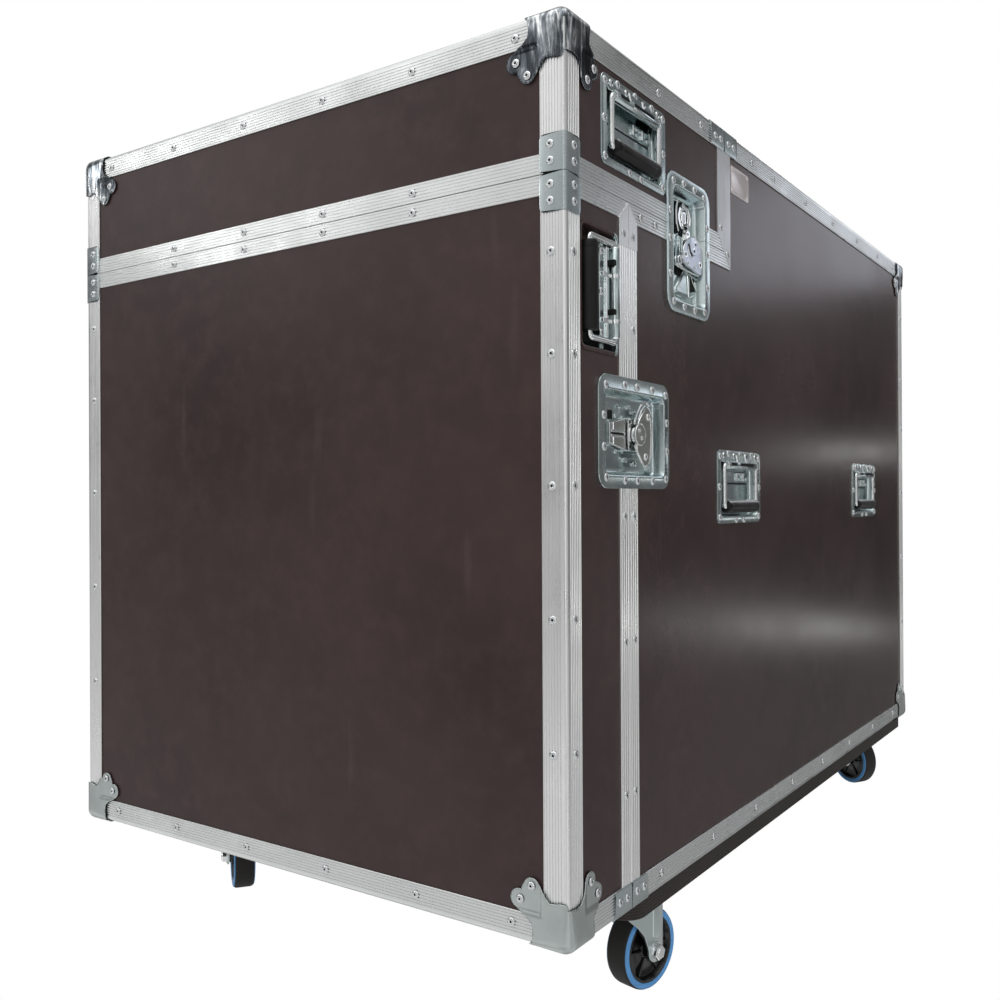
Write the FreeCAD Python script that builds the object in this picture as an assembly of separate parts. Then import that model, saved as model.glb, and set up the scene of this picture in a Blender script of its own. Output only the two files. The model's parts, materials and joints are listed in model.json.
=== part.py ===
import FreeCAD, Part
import os, math
from FreeCAD import Vector as V

# Equipment rack case on castors, in millimetres, +Z up. The origin is on the ground under
# the centre of the box. Front is -Y, back is +Y, right is +X.
# A horizontal seam and two upright seams divide the box into the body, a front cover (lower
# front) and a lid (upper front). Most pieces are built at the +X side and mirrored to -X.

XDIR, YDIR, ZDIR = V(1, 0, 0), V(0, 1, 0), V(0, 0, 1)

# ---------------------------------------------------------------- driving sizes
WIDTH, DEPTH, HEIGHT = 820.0, 1400.0, 958.0
BASE = 150.0                        # z of the underside of the box
TOP = BASE + HEIGHT
SIDE = WIDTH / 2                    # x of the right side
FRONT, BACK = -DEPTH / 2, DEPTH / 2
SEAM = BASE + 793.0                 # z of the horizontal seam
COVER_Y = FRONT + 137.0             # lower upright seam, cover / body
LID_Y = FRONT + 416.0               # upper upright seam, lid / body
GAP = 0.25                          # half of each seam gap
ANGLE_T, ANGLE_LEG = 2.0, 30.0      # edge angles
BOARD = 10.0                        # board thickness
SEAM_W = 21.5                       # face width of the seam extrusions
STRIP_W = 22.0                      # half width of the flat strip at the lid seam
WEB = 2.0                           # web thickness of the seam extrusions
DECK_T = 12.0

# Edges of each section at the seams
SEAM_LOW, SEAM_HIGH = SEAM - GAP, SEAM + GAP
COVER_END, BODY_START = COVER_Y - GAP, COVER_Y + GAP
LID_END, TOP_START = LID_Y - GAP, LID_Y + GAP
RIM_LOW, RIM_HIGH = SEAM_LOW - WEB, SEAM_HIGH + WEB     # board edges at the seam
COVER_BOARD_Y, BODY_BOARD_Y = COVER_END - WEB, BODY_START + WEB

# Outer and inner faces of the boards
WALL = SIDE - ANGLE_T
INNER = WALL - BOARD
FLOOR_Z = BASE + ANGLE_T
FLOOR_TOP = FLOOR_Z + BOARD
ROOF_Z = TOP - ANGLE_T
ROOF_UNDER = ROOF_Z - BOARD
FACE_Y = FRONT + ANGLE_T
FACE_IN = FACE_Y + BOARD
REAR_Y = BACK - ANGLE_T
REAR_IN = REAR_Y - BOARD
DECK_TOP = SEAM - 12.0
DECK_UNDER = DECK_TOP - DECK_T


# ---------------------------------------------------------------- shape helpers
def box(x0, x1, y0, y1, z0, z1):
    """Box between two limits on each axis, given in either order."""
    low = V(min(x0, x1), min(y0, y1), min(z0, z1))
    return Part.makeBox(abs(x1 - x0), abs(y1 - y0), abs(z1 - z0), low)


def cyl(radius, start, direction, length):
    return Part.makeCylinder(radius, length, V(*start), direction)


def mirror(shape):
    return shape.mirror(V(0, 0, 0), XDIR)


def both(shapes):
    """The shapes of the right side and their mirror images."""
    return list(shapes) + [mirror(shape) for shape in shapes]


def prism(points, direction):
    wire = Part.makePolygon([V(*p) for p in points] + [V(*points[0])])
    return Part.Face(wire).extrude(V(*direction))


def side_prism(points, x, thick, y=0.0, z=0.0):
    """Plate facing X whose outline is (y, z) points measured from the given y and z."""
    return prism([(x, y + a, z + b) for a, b in points], (thick, 0, 0))


def fuse(shapes):
    return shapes[0].fuse(shapes[1:]).removeSplitter()


def edges_along(shape, axis):
    """Edges whose two ends differ along the axis 'X', 'Y' or 'Z'."""
    return [e for e in shape.Edges
            if abs(getattr(e.Vertexes[0], axis) - getattr(e.Vertexes[1], axis)) > 1e-6]


def rounded_plate(bounds, radius, thick):
    """Round-cornered plate standing on the outer face of the side board."""
    plate = box(WALL, WALL + thick, *bounds)
    return plate.makeFillet(radius, edges_along(plate, "X"))


def cut_solids(shapes, tools):
    """All solids left after every tool has been cut from every shape."""
    left = []
    for shape in shapes:
        for tool in tools:
            shape = shape.cut(tool)
        left += shape.Solids
    return left


def inward(face):
    """Sign of the direction from the front, back, bottom or top face into the box."""
    return 1 if face in (FRONT, BASE) else -1


def near(centre, y0, y1, z0, z1):
    """(y0, y1, z0, z1) bounds given by offsets from a (y, z) centre."""
    y, z = centre
    return y + y0, y + y1, z + z0, z + z1


def inset(bounds, y0, y1, z0, z1):
    """Bounds shrunk by a margin at each edge."""
    return bounds[0] + y0, bounds[1] - y1, bounds[2] + z0, bounds[3] - z1


def write_part(name, shapes):
    """Write the solids of the shapes as one file."""
    found = []
    for shape in shapes:
        found += shape.Solids
    whole = found[0] if len(found) == 1 else Part.makeCompound(found)
    whole.exportStep("parts/%s.step" % name)


def write_pair(name, shape):
    """Write a right piece and its left mirror image; %s in the name is the side."""
    write_part(name % "right", [shape])
    write_part(name % "left", [mirror(shape)])


os.makedirs("parts", exist_ok=True)

# ---------------------------------------------------------------- recesses in the side walls
# Centres are (y, z). Bounds are (y0, y1, z0, z1).
HANDLE_L, HANDLE_H = 158.5, 99.0
HANDLE_Z = BASE + 476.0
FRONT_HANDLE = (FRONT + 468.5, HANDLE_Z)
REAR_HANDLE = (FRONT + 1098.0, HANDLE_Z)
LID_HANDLE = (FRONT + 156.5, BASE + 872.0)
COVER_HANDLE = (FRONT + 73.5, BASE + 684.0)
COVER_HANDLE_W, COVER_HANDLE_H = 81.0, 136.0


def handle_flange(centre):
    return near(centre, -HANDLE_L / 2, HANDLE_L / 2, -HANDLE_H / 2, HANDLE_H / 2)


def handle_recess(centre):
    return inset(handle_flange(centre), 13, 13, 10, 10)


COVER_FLANGE = near(COVER_HANDLE, -COVER_HANDLE_W / 2, COVER_HANDLE_W / 2,
                    -COVER_HANDLE_H / 2, COVER_HANDLE_H / 2)
COVER_RECESS = inset(COVER_FLANGE, 2, 4, 5, 5)
# The side latch bridges the cover seam, the lid latch the horizontal seam.
SIDE_LATCH = (FRONT + 65.0, FRONT + 238.5, BASE + 471.0, BASE + 595.0)
LID_LATCH = (FRONT + 236.0, FRONT + 364.0, BASE + 688.5, BASE + 859.5)
SIDE_RECESS = inset(SIDE_LATCH, 16, 14.5, 15, 17)
LID_RECESS = inset(LID_LATCH, 18, 16, 16, 17)


def opening(bounds):
    return box(INNER - 6, SIDE + 8, *bounds)


# ---------------------------------------------------------------- boards
def side_board():
    board = fuse([
        box(INNER, WALL, BODY_BOARD_Y, REAR_IN, FLOOR_Z, RIM_LOW),
        box(INNER, WALL, TOP_START, REAR_IN, RIM_LOW - 40, ROOF_Z),
    ])
    handles = [opening(handle_recess(c)) for c in (FRONT_HANDLE, REAR_HANDLE)]
    return board.cut(fuse(handles)).cut(opening(SIDE_RECESS)).cut(opening(LID_RECESS))


def deck_board():
    deck = box(-INNER, INNER, COVER_Y + 12, REAR_IN, DECK_UNDER, DECK_TOP)
    # clears the lid latch recess
    notch = box(INNER - 14, INNER + 5, LID_RECESS[0] - 5, LID_RECESS[1] + 5,
                DECK_UNDER - 1, DECK_TOP + 1)
    return deck.cut(notch).cut(mirror(notch))


write_part("side_panels", both([side_board()]))
write_part("back_panel", [box(-WALL, WALL, REAR_IN, REAR_Y, FLOOR_Z, ROOF_Z)])
write_part("floor_panel", [box(-INNER, INNER, BODY_BOARD_Y, REAR_IN, FLOOR_Z, FLOOR_TOP)])
write_part("top_panel", [box(-INNER, INNER, TOP_START, REAR_IN, ROOF_UNDER, ROOF_Z)])
write_part("deck_board", [deck_board()])

lid_side = box(INNER, WALL, FACE_IN, LID_END, RIM_HIGH, ROOF_UNDER)
lid_side = lid_side.cut(opening(handle_recess(LID_HANDLE))).cut(opening(LID_RECESS))
write_part("lid_panels", [
    box(-WALL, WALL, FACE_Y, FACE_IN, RIM_HIGH, ROOF_UNDER),
    box(-WALL, WALL, FACE_Y, LID_END, ROOF_UNDER, ROOF_Z),
] + both([lid_side]))

cover_side = box(INNER, WALL, FACE_IN, COVER_BOARD_Y, FLOOR_TOP, RIM_LOW)
cover_side = cover_side.cut(opening(COVER_RECESS)).cut(opening(SIDE_RECESS))
write_part("cover_panels", [
    box(-WALL, WALL, FACE_Y, FACE_IN, FLOOR_TOP, RIM_LOW),
    box(-WALL, WALL, FACE_Y, COVER_BOARD_Y, FLOOR_Z, FLOOR_TOP),
] + both([cover_side]))


# ---------------------------------------------------------------- edge angles
def upright_angle(z0, z1, face_y):
    way = inward(face_y)
    return fuse([
        box(WALL, SIDE, face_y, face_y + way * ANGLE_LEG, z0, z1),
        box(SIDE - ANGLE_LEG, WALL, face_y, face_y + way * ANGLE_T, z0, z1),
    ])


def long_angle(y0, y1, face_z):
    way = inward(face_z)
    return fuse([
        box(WALL, SIDE, y0, y1, face_z, face_z + way * ANGLE_LEG),
        box(SIDE - ANGLE_LEG, WALL, y0, y1, face_z, face_z + way * ANGLE_T),
    ])


CROSS_X = SIDE - ANGLE_LEG          # half length of the pieces that run across the box


def cross_angle(face_y, face_z):
    way_y, way_z = inward(face_y), inward(face_z)
    return fuse([
        box(-CROSS_X, CROSS_X, face_y, face_y + way_y * ANGLE_T,
            face_z, face_z + way_z * ANGLE_LEG),
        box(-CROSS_X, CROSS_X, face_y, face_y + way_y * ANGLE_LEG,
            face_z, face_z + way_z * ANGLE_T),
    ])


write_part("body_edge_angles", both([
    long_angle(BODY_START, BACK - ANGLE_LEG, BASE),
    long_angle(TOP_START, BACK - ANGLE_LEG, TOP),
    upright_angle(BASE + ANGLE_LEG, TOP - ANGLE_LEG, BACK),
]) + [cross_angle(BACK, BASE), cross_angle(BACK, TOP)])

# ---------------------------------------------------------------- seam extrusions
LINER = INNER - ANGLE_T             # inner face of the inner flange
FLANGE_H = 10.0                     # height of the inner flange
TONGUE_IN, TONGUE_OUT = LINER - 2.5, LINER - 0.5
TONGUE_X = INNER - 12               # half length of the cross tongues
FRONT_X = LINER - 4                 # half length of the flanges behind the front boards
LOW_END, HIGH_END = BASE + ANGLE_LEG, TOP - ANGLE_LEG

side_latch_outline = box(WALL, SIDE + 5, *SIDE_LATCH)
lid_latch_outline = box(WALL, SIDE + 5, *LID_LATCH)
side_latch_slot = box(LINER - 6, SIDE + 8, SIDE_LATCH[0], SIDE_LATCH[1],
                      SIDE_RECESS[2] - 2, SIDE_RECESS[3] + 2)
lid_latch_slot = box(LINER - 6, SIDE + 8, LID_RECESS[0] - 2, LID_RECESS[1] + 2,
                     LID_LATCH[2], LID_LATCH[3])


def face_strip(points):
    """Flat strip on the side face from a (y, z) outline."""
    return side_prism(points, WALL, ANGLE_T)


def body_seams():
    # Mitred face strips below the horizontal seam and behind the cover seam
    level = face_strip([(BODY_START, SEAM_LOW), (TOP_START - 0.3, SEAM_LOW),
                        (LID_Y + SEAM_W - GAP, SEAM - SEAM_W),
                        (COVER_Y + SEAM_W, SEAM - SEAM_W)])
    upright = face_strip([(BODY_START, LOW_END), (BODY_START, SEAM_LOW),
                          (COVER_Y + SEAM_W, SEAM - SEAM_W), (COVER_Y + SEAM_W, LOW_END)])
    faces = cut_solids([level, upright], [side_latch_outline, lid_latch_outline])
    flat = face_strip([(TOP_START, SEAM + 0.15), (LID_Y + STRIP_W, SEAM - STRIP_W + 0.4),
                       (LID_Y + STRIP_W, HIGH_END), (TOP_START, HIGH_END)])
    webs = cut_solids([
        fuse([box(INNER, WALL, BODY_START, LID_Y, RIM_LOW, SEAM_LOW),
              box(LINER, INNER, COVER_Y + 12, LID_Y, SEAM_LOW - FLANGE_H, SEAM_LOW)]),
        fuse([box(INNER, WALL, BODY_START, BODY_BOARD_Y, FLOOR_Z, RIM_LOW),
              box(LINER, INNER, BODY_START, COVER_Y + 10, FLOOR_TOP + 4, DECK_UNDER - 3)]),
    ], [lid_latch_slot, side_latch_slot])
    # Tongues stand in front of the body edges, inside the cover and the lid.
    low, high = FLOOR_TOP + 8, DECK_UNDER - 3
    lid_low, lid_high = SEAM + 14, ROOF_UNDER - 6
    tongues = cut_solids([
        fuse([box(TONGUE_IN, TONGUE_OUT, COVER_Y - 8, COVER_Y + 10, low, high),
              box(TONGUE_OUT, LINER, COVER_Y + 2, COVER_Y + 10, low, high)]),
        fuse([box(TONGUE_IN, TONGUE_OUT, LID_Y - 8, LID_Y + 12, lid_low, lid_high),
              box(TONGUE_OUT, INNER, LID_Y + 2, LID_Y + 12, lid_low, lid_high)]),
    ], [side_latch_slot])
    bottom = fuse([
        box(-CROSS_X, CROSS_X, BODY_START, COVER_Y + SEAM_W, BASE, FLOOR_Z),
        box(-INNER, INNER, BODY_START, BODY_BOARD_Y, FLOOR_Z, FLOOR_TOP + 2),
        box(-(INNER - 4), INNER - 4, BODY_START, COVER_Y + 10, FLOOR_TOP, FLOOR_TOP + 2),
    ])
    bottom_tongue = fuse([
        box(-TONGUE_X, TONGUE_X, COVER_Y - 8, COVER_Y + 10, FLOOR_TOP + 2.5, FLOOR_TOP + 4.5),
        box(-TONGUE_X, TONGUE_X, COVER_Y + 2, COVER_Y + 10, FLOOR_TOP + 2, FLOOR_TOP + 2.5),
    ])
    top_tongue = fuse([
        box(-TONGUE_X, TONGUE_X, LID_Y - 8, LID_Y + 12, ROOF_UNDER - 2.5, ROOF_UNDER - 0.5),
        box(-TONGUE_X, TONGUE_X, LID_Y + 2, LID_Y + 12, ROOF_UNDER - 0.5, ROOF_UNDER),
    ])
    return both(faces + [flat] + webs + tongues) + [bottom, bottom_tongue, top_tongue]


def lid_seams():
    level = face_strip([(FRONT + ANGLE_LEG, SEAM_HIGH), (LID_END, SEAM_HIGH),
                        (LID_Y - STRIP_W, SEAM + STRIP_W), (LID_Y - STRIP_W, SEAM + SEAM_W),
                        (FRONT + ANGLE_LEG, SEAM + SEAM_W)])
    flat = face_strip([(LID_Y - STRIP_W, SEAM + STRIP_W + 0.4), (LID_END, SEAM_HIGH + 0.4),
                       (LID_END, HIGH_END), (LID_Y - STRIP_W, HIGH_END)])
    webs = cut_solids([fuse([
        box(INNER, WALL, FACE_Y, LID_END, SEAM_HIGH, RIM_HIGH),
        box(LINER, INNER, FACE_IN, LID_END, SEAM_HIGH, SEAM_HIGH + FLANGE_H),
    ])], [lid_latch_slot])
    # Valance hanging below the seam on the inside
    valance = cut_solids([fuse([
        box(TONGUE_IN, TONGUE_OUT, FACE_IN + 4, LID_Y - 10, SEAM - 8, SEAM + 10),
        box(TONGUE_OUT, LINER, FACE_IN + 4, LID_Y - 10, SEAM + 2, SEAM + 10),
    ])], [lid_latch_slot])
    front_web = fuse([
        box(-INNER, INNER, FACE_Y, FACE_IN, SEAM_HIGH, RIM_HIGH),
        box(-FRONT_X, FRONT_X, FACE_IN, FACE_IN + 2, SEAM_HIGH, SEAM_HIGH + FLANGE_H),
        box(-FRONT_X, FRONT_X, FACE_IN + 2, FACE_IN + 4.5, SEAM + 2, SEAM + 10),
        box(-FRONT_X, FRONT_X, FACE_IN + 2.5, FACE_IN + 4.5, SEAM - 8, SEAM + 10),
    ])
    # Make room at the front corners for the front web.
    valance_end = box(0, SIDE, FRONT, FACE_IN + 5, SEAM - 20, SEAM + 20)
    web_end = box(0, INNER + 0.001, FRONT, FACE_IN + 0.001, SEAM - 20, SEAM + 20)
    valance = [s.cut(valance_end) for s in valance]
    webs = [s.cut(web_end) for s in webs]
    angles = [upright_angle(SEAM_HIGH, HIGH_END, FRONT),
              long_angle(FRONT + ANGLE_LEG, LID_END, TOP)]
    return both(angles + cut_solids([level], [lid_latch_outline]) + [flat] + webs + valance) + [
        cross_angle(FRONT, TOP),
        box(-CROSS_X, CROSS_X, LID_Y - STRIP_W, LID_Y + STRIP_W, ROOF_Z, TOP),
        box(-CROSS_X, CROSS_X, FRONT, FACE_Y, SEAM_HIGH, SEAM + SEAM_W),
        front_web,
    ]


def cover_seams():
    mitre = (COVER_Y - SEAM_W, SEAM - SEAM_W)
    level = face_strip([(FRONT + ANGLE_LEG, SEAM_LOW), (COVER_END, SEAM_LOW), mitre,
                        (FRONT + ANGLE_LEG, SEAM - SEAM_W)])
    upright = face_strip([(COVER_END, LOW_END), (COVER_END, SEAM_LOW), mitre,
                          (COVER_Y - SEAM_W, LOW_END)])
    webs = cut_solids([
        fuse([box(INNER, WALL, FACE_Y, COVER_END, RIM_LOW, SEAM_LOW),
              box(LINER, INNER, FACE_IN, COVER_END - 4, SEAM_LOW - FLANGE_H, SEAM_LOW)]),
        fuse([box(INNER, WALL, COVER_BOARD_Y, COVER_END, FLOOR_TOP, RIM_LOW),
              box(LINER, INNER, COVER_Y - 10, COVER_END, FLOOR_TOP + 4, SEAM - 14)]),
    ], [side_latch_slot])
    web_end = box(0, INNER + 0.001, FRONT, FACE_IN + 0.001, BASE, TOP)
    webs = [s.cut(web_end) for s in webs]
    front_web = fuse([
        box(-INNER, INNER, FACE_Y, FACE_IN, RIM_LOW, SEAM_LOW),
        box(-FRONT_X, FRONT_X, FACE_IN, FACE_IN + 2, SEAM_LOW - FLANGE_H, SEAM_LOW),
    ])
    bottom = fuse([
        box(-CROSS_X, CROSS_X, COVER_Y - SEAM_W, COVER_END, BASE, FLOOR_Z),
        box(-INNER, INNER, COVER_BOARD_Y, COVER_END, FLOOR_Z, FLOOR_TOP),
    ])
    angles = [upright_angle(LOW_END, SEAM_LOW, FRONT),
              long_angle(FRONT + ANGLE_LEG, COVER_END, BASE)]
    return both(angles + cut_solids([level, upright], [side_latch_outline]) + webs) + [
        cross_angle(FRONT, BASE),
        box(-CROSS_X, CROSS_X, FRONT, FACE_Y, SEAM - SEAM_W, SEAM_LOW),
        front_web, bottom,
    ]


write_part("body_seam_extrusions", body_seams())
write_part("lid_extrusions", lid_seams())
write_part("cover_extrusions", cover_seams())

# ---------------------------------------------------------------- corner plates, seam braces
CORNER_T = 1.5
# Outline of one leaf: distances from the two box edges that it covers
LEAF = [(-CORNER_T, -CORNER_T), (46, -CORNER_T), (46, 24), (62, 34), (68, 44), (62, 53),
        (54, 54), (53, 62), (44, 69), (34, 62), (24, 46), (-CORNER_T, 46)]
BRACE_T, BRACE_L, BRACE_W = 1.2, 40.0, 31.0
TOP_BRACE_L = 44


def corner(face_y, face_z):
    """Three-leaf corner plate on the right side."""
    dy, dz = inward(face_y), inward(face_z)
    return fuse([
        prism([(SIDE, face_y + dy * a, face_z + dz * b) for a, b in LEAF], (CORNER_T, 0, 0)),
        prism([(SIDE - a, face_y, face_z + dz * b) for a, b in LEAF], (0, -dy * CORNER_T, 0)),
        prism([(SIDE - a, face_y + dy * b, face_z) for a, b in LEAF], (0, 0, -dz * CORNER_T)),
    ])


def upright_brace(z0, z1):
    """Brace around a front edge."""
    return fuse([
        box(SIDE, SIDE + BRACE_T, FRONT - BRACE_T, FRONT + BRACE_W, z0, z1),
        box(SIDE - BRACE_W, SIDE, FRONT, FRONT - BRACE_T, z0, z1),
    ])


def long_brace(y0, y1, face_z):
    """Brace around a bottom or top edge."""
    way = inward(face_z)
    return fuse([
        box(SIDE, SIDE + BRACE_T, y0, y1, face_z - way * BRACE_T, face_z + way * BRACE_W),
        box(SIDE - BRACE_W, SIDE, y0, y1, face_z, face_z - way * BRACE_T),
    ])


write_part("body_corner_plates", both([
    corner(BACK, BASE), corner(BACK, TOP),
    long_brace(BODY_START, COVER_Y + BRACE_L, BASE),
    long_brace(TOP_START, LID_Y + TOP_BRACE_L, TOP),
]))
write_part("lid_corner_plates", both([
    corner(FRONT, TOP), long_brace(LID_Y - TOP_BRACE_L, LID_END, TOP),
    upright_brace(SEAM_HIGH, SEAM + BRACE_L),
]))
write_part("cover_corner_plates", both([
    corner(FRONT, BASE), long_brace(COVER_Y - BRACE_L, COVER_END, BASE),
    upright_brace(SEAM - BRACE_L, SEAM_LOW),
]))

# ---------------------------------------------------------------- pressed dishes
DISH_T = 1.2                        # wall of the tubs
HANDLE_DEPTH, LATCH_DEPTH = 18.0, 14.0
HANDLE_FLANGE_T, LATCH_FLANGE_T = 1.6, 3.2


def dish(flange, recess, depth, thick, radius):
    """Rectangular tub sunk from a round-cornered flange."""
    plate = rounded_plate(flange, radius, thick)
    tub = box(WALL - depth, WALL + thick, *recess)
    hollow = box(WALL - depth + DISH_T, WALL + thick + 1,
                 *inset(recess, DISH_T, DISH_T, DISH_T, DISH_T))
    return plate.fuse(tub).cut(hollow).removeSplitter()


# ---------------------------------------------------------------- handles
WIRE_R, WIRE_PLAY = 3.5, 0.05
HINGE_X = WALL + 2.0                # plane of the wire and its hinge
BARREL_R, GRIP_R = 6.0, 10.5
PINTLE_L = 11.5                     # pintle length in from the arm
ARM_TO_BARREL = 4.0                 # from arm centre to barrel end

# Handle layout: direction of the hinge, direction from grip to hinge, then distances from
# the centre of the dish: arms, hinge, grip and grip end.
SIDE_LAYOUT = (YDIR, ZDIR, 57.5, 29.5, -27.0, 53.8)
COVER_LAYOUT = (ZDIR, YDIR, 54.0, 30.5, -25.5, 48.0)


def add_hinge(parts, centre, layout):
    """Fuse the parts with a rolled barrel and bore both its ends for the pintles."""
    along, across, arm, hinge = layout[:4]
    middle = V(HINGE_X, *centre) + across * hinge
    end = arm - ARM_TO_BARREL
    pintle = arm - PINTLE_L
    shape = fuse(parts + [cyl(BARREL_R, middle - along * end, along, 2 * end)])
    for k in (-1, 1):
        shape = shape.cut(cyl(WIRE_R + WIRE_PLAY, middle + along * (k * (pintle - 1.0)),
                              along * k, end - pintle + 2.0))
    return shape


def handle_dish(centre):
    y, z = centre
    recess = handle_recess(centre)
    tub = dish(handle_flange(centre), recess, HANDLE_DEPTH, HANDLE_FLANGE_T, 9)
    hinge_z = z + SIDE_LAYOUT[3]
    end = SIDE_LAYOUT[2] - ARM_TO_BARREL
    plate = box(WALL, WALL + HANDLE_FLANGE_T, recess[0] - 0.5, recess[1] + 0.5,
                hinge_z + 4.1, recess[3] + 0.5)
    lug = box(WALL - 1.0, WALL + HANDLE_FLANGE_T, y - end, y + end, hinge_z, hinge_z + 6.0)
    return add_hinge([tub, plate, lug], centre, SIDE_LAYOUT)


def cover_handle_dish():
    y, z = COVER_HANDLE
    tub = dish(COVER_FLANGE, COVER_RECESS, HANDLE_DEPTH, HANDLE_FLANGE_T, 6)
    hinge_y = y + COVER_LAYOUT[3]
    end = COVER_LAYOUT[2] - ARM_TO_BARREL
    ledge = box(WALL - HANDLE_DEPTH + 0.5, WALL - 3.6, hinge_y - 20.0, hinge_y - 2.0,
                z - end, z + end)
    plate = box(WALL - 3.6, WALL - 2.0, hinge_y - 26.0, hinge_y, z - end, z + end)
    return add_hinge([tub, ledge, plate], COVER_HANDLE, COVER_LAYOUT)


def write_handle(name, centre, layout):
    """Bent wire bail with inturned pintles, and the sleeve grip on its bar."""
    along, across, arm, hinge, grip, grip_end = layout
    middle = V(HINGE_X, *centre)

    def point(a, b):
        return middle + along * a + across * b

    wire = []
    for k in (-1, 1):
        wire.append(cyl(WIRE_R, point(k * (arm - PINTLE_L), hinge), along * k, PINTLE_L))
        wire.append(cyl(WIRE_R, point(k * arm, grip), across, hinge - grip))
        wire.append(Part.makeSphere(WIRE_R, point(k * arm, hinge)))
        wire.append(Part.makeSphere(WIRE_R, point(k * arm, grip)))
    wire.append(cyl(WIRE_R, point(-arm, grip), along, 2 * arm))
    bail = wire[0]
    for piece in wire[1:]:
        bail = bail.fuse(piece)
    sleeve = cyl(GRIP_R, point(-grip_end, grip), along, 2 * grip_end)
    sleeve = sleeve.cut(cyl(WIRE_R, point(-60, grip), along, 120))
    write_pair(name + "_%s_bail", bail)
    write_pair(name + "_%s_grip", sleeve)


write_part("body_handle_dishes", both([handle_dish(FRONT_HANDLE), handle_dish(REAR_HANDLE)]))
write_handle("handle_front", FRONT_HANDLE, SIDE_LAYOUT)
write_handle("handle_rear", REAR_HANDLE, SIDE_LAYOUT)
write_handle("lid_handle", LID_HANDLE, SIDE_LAYOUT)
write_handle("cover_handle", COVER_HANDLE, COVER_LAYOUT)

# ---------------------------------------------------------------- twist latches
# Each latch dish is divided at its seam into a latch half and a keeper half.
SIDE_HUB = (COVER_Y + 28.0, (SIDE_LATCH[2] + SIDE_LATCH[3]) / 2)
LID_HUB = (FRONT + 317.0, SEAM - 13.0)
SIDE_TRAVEL, LID_TRAVEL = 12.0, 8.0         # hook travel
DISH_X = WALL - LATCH_DEPTH + DISH_T        # floor surface of a latch dish
MOUNT_T = 1.5
HOOK_X0, HOOK_X1 = DISH_X + MOUNT_T + 0.5, DISH_X + MOUNT_T + 3.0
SHAFT_R = 5.0
SLOT_R = SHAFT_R + 0.3
DRUM_X = HOOK_X1 + 0.5
WING_X, WING_T = HOOK_X1 + 6.8, 2.0
DISC_T = 4.0
ROD_X = WALL - 6.0
FAR = 2000.0                                # beyond the whole case

# Outlines as (y, z) from the hub centre
SIDE_WING = [(-6, -12), (-5, -20), (4, -30), (13, -36.5), (22, -35), (29.5, -27), (34, -8),
             (34.5, 10), (33, 23), (27, 31), (20, 34), (11, 28), (2, 19), (-4, 12)]
LID_WING = [(-31, -18), (-27, -26), (20, -34), (26, -31), (27.5, -26), (27.5, 0), (20, 9),
            (8, 11.5), (-8, 11.5), (-28, -4)]
SIDE_HOOK = [(-58, -12), (-11, -18.5), (-11, -13), (26, -13), (26, 13), (-11, 13),
             (-11, 18.5), (-58, 12)]
LID_PAD = [(-4, -28), (8, -28), (29, -50), (29, -61), (-32, -63), (-32, -56)]


def cover_seam_half(shape, way):
    """Part of the shape in front of (-1) or behind (1) the cover seam."""
    return shape.common(box(0, FAR, COVER_Y + way * GAP, way * FAR, -FAR, FAR))


def lid_seam_half(shape, way):
    """Part of the shape below (-1) or above (1) the horizontal seam."""
    return shape.common(box(0, FAR, -FAR, FAR, SEAM + way * GAP, way * FAR))


def mount_plate(hub, *offsets):
    plate = box(DISH_X, DISH_X + MOUNT_T, *near(hub, *offsets))
    return plate.cut(cyl(SHAFT_R + 0.05, (DISH_X - 1, *hub), XDIR, 6))


def cut_slot(plate, bounds, ends):
    """Cut the round-ended slot in which the shaft lets the hook slide."""
    slot = box(HOOK_X0 - 1, HOOK_X1 + 1, *bounds)
    for y, z in ends:
        slot = slot.fuse(cyl(SLOT_R, (HOOK_X0 - 1, y, z), XDIR, 6))
    return plate.cut(slot).removeSplitter()


def side_hook():
    """Plate with a raised lip at its front end, in the cover."""
    y, z = SIDE_HUB
    plate = side_prism(SIDE_HOOK, HOOK_X0, HOOK_X1 - HOOK_X0, y, z)
    plate = plate.fuse(box(HOOK_X1, HOOK_X1 + 2.0, y - 58, y - 54, z - 12, z + 12))
    return cut_slot(plate, (y, y + SIDE_TRAVEL, z - SLOT_R, z + SLOT_R),
                    [(y, z), (y + SIDE_TRAVEL, z)])


def lid_hook():
    """Slotted plate with a ring at its upper end, in the lid."""
    y, z = LID_HUB
    ring = (HOOK_X0, y - 8, z + 36)
    plate = box(HOOK_X0, HOOK_X1, y - 11, y + 11, z - 18, z + 26)
    plate = plate.fuse(cyl(16, ring, XDIR, HOOK_X1 - HOOK_X0))
    plate = plate.cut(cyl(10.5, (HOOK_X0 - 1, y - 8, z + 36), XDIR, 6))
    return cut_slot(plate, (y - SLOT_R, y + SLOT_R, z - LID_TRAVEL, z),
                    [(y, z), (y, z - LID_TRAVEL)])


def butterfly(hub, wing):
    """Shaft, drum, raised wing plate and disc."""
    shape = cyl(SHAFT_R, (DISH_X, *hub), XDIR, DRUM_X - DISH_X)
    shape = shape.fuse(cyl(10, (DRUM_X, *hub), XDIR, WING_X - DRUM_X))
    shape = shape.fuse(side_prism(wing, WING_X, WING_T, *hub))
    return shape.fuse(cyl(12.0, (WING_X, *hub), XDIR, DISC_T)).removeSplitter()


def lid_latch_body(latch_dish):
    """Latch half with a raised pad and a stepped rod below the hub."""
    y, z = LID_HUB
    pad = side_prism(LID_PAD, DISH_X - 0.2, 5.5, y, z)
    start = (ROD_X, y - 41, z - 29)
    rod = cyl(2.5, start, YDIR, 69).fuse(cyl(4.3, start, YDIR, 11))
    mount = mount_plate(LID_HUB, -22, 22, -24, 12)
    return fuse([lid_seam_half(latch_dish, -1), mount, pad, rod])


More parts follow.
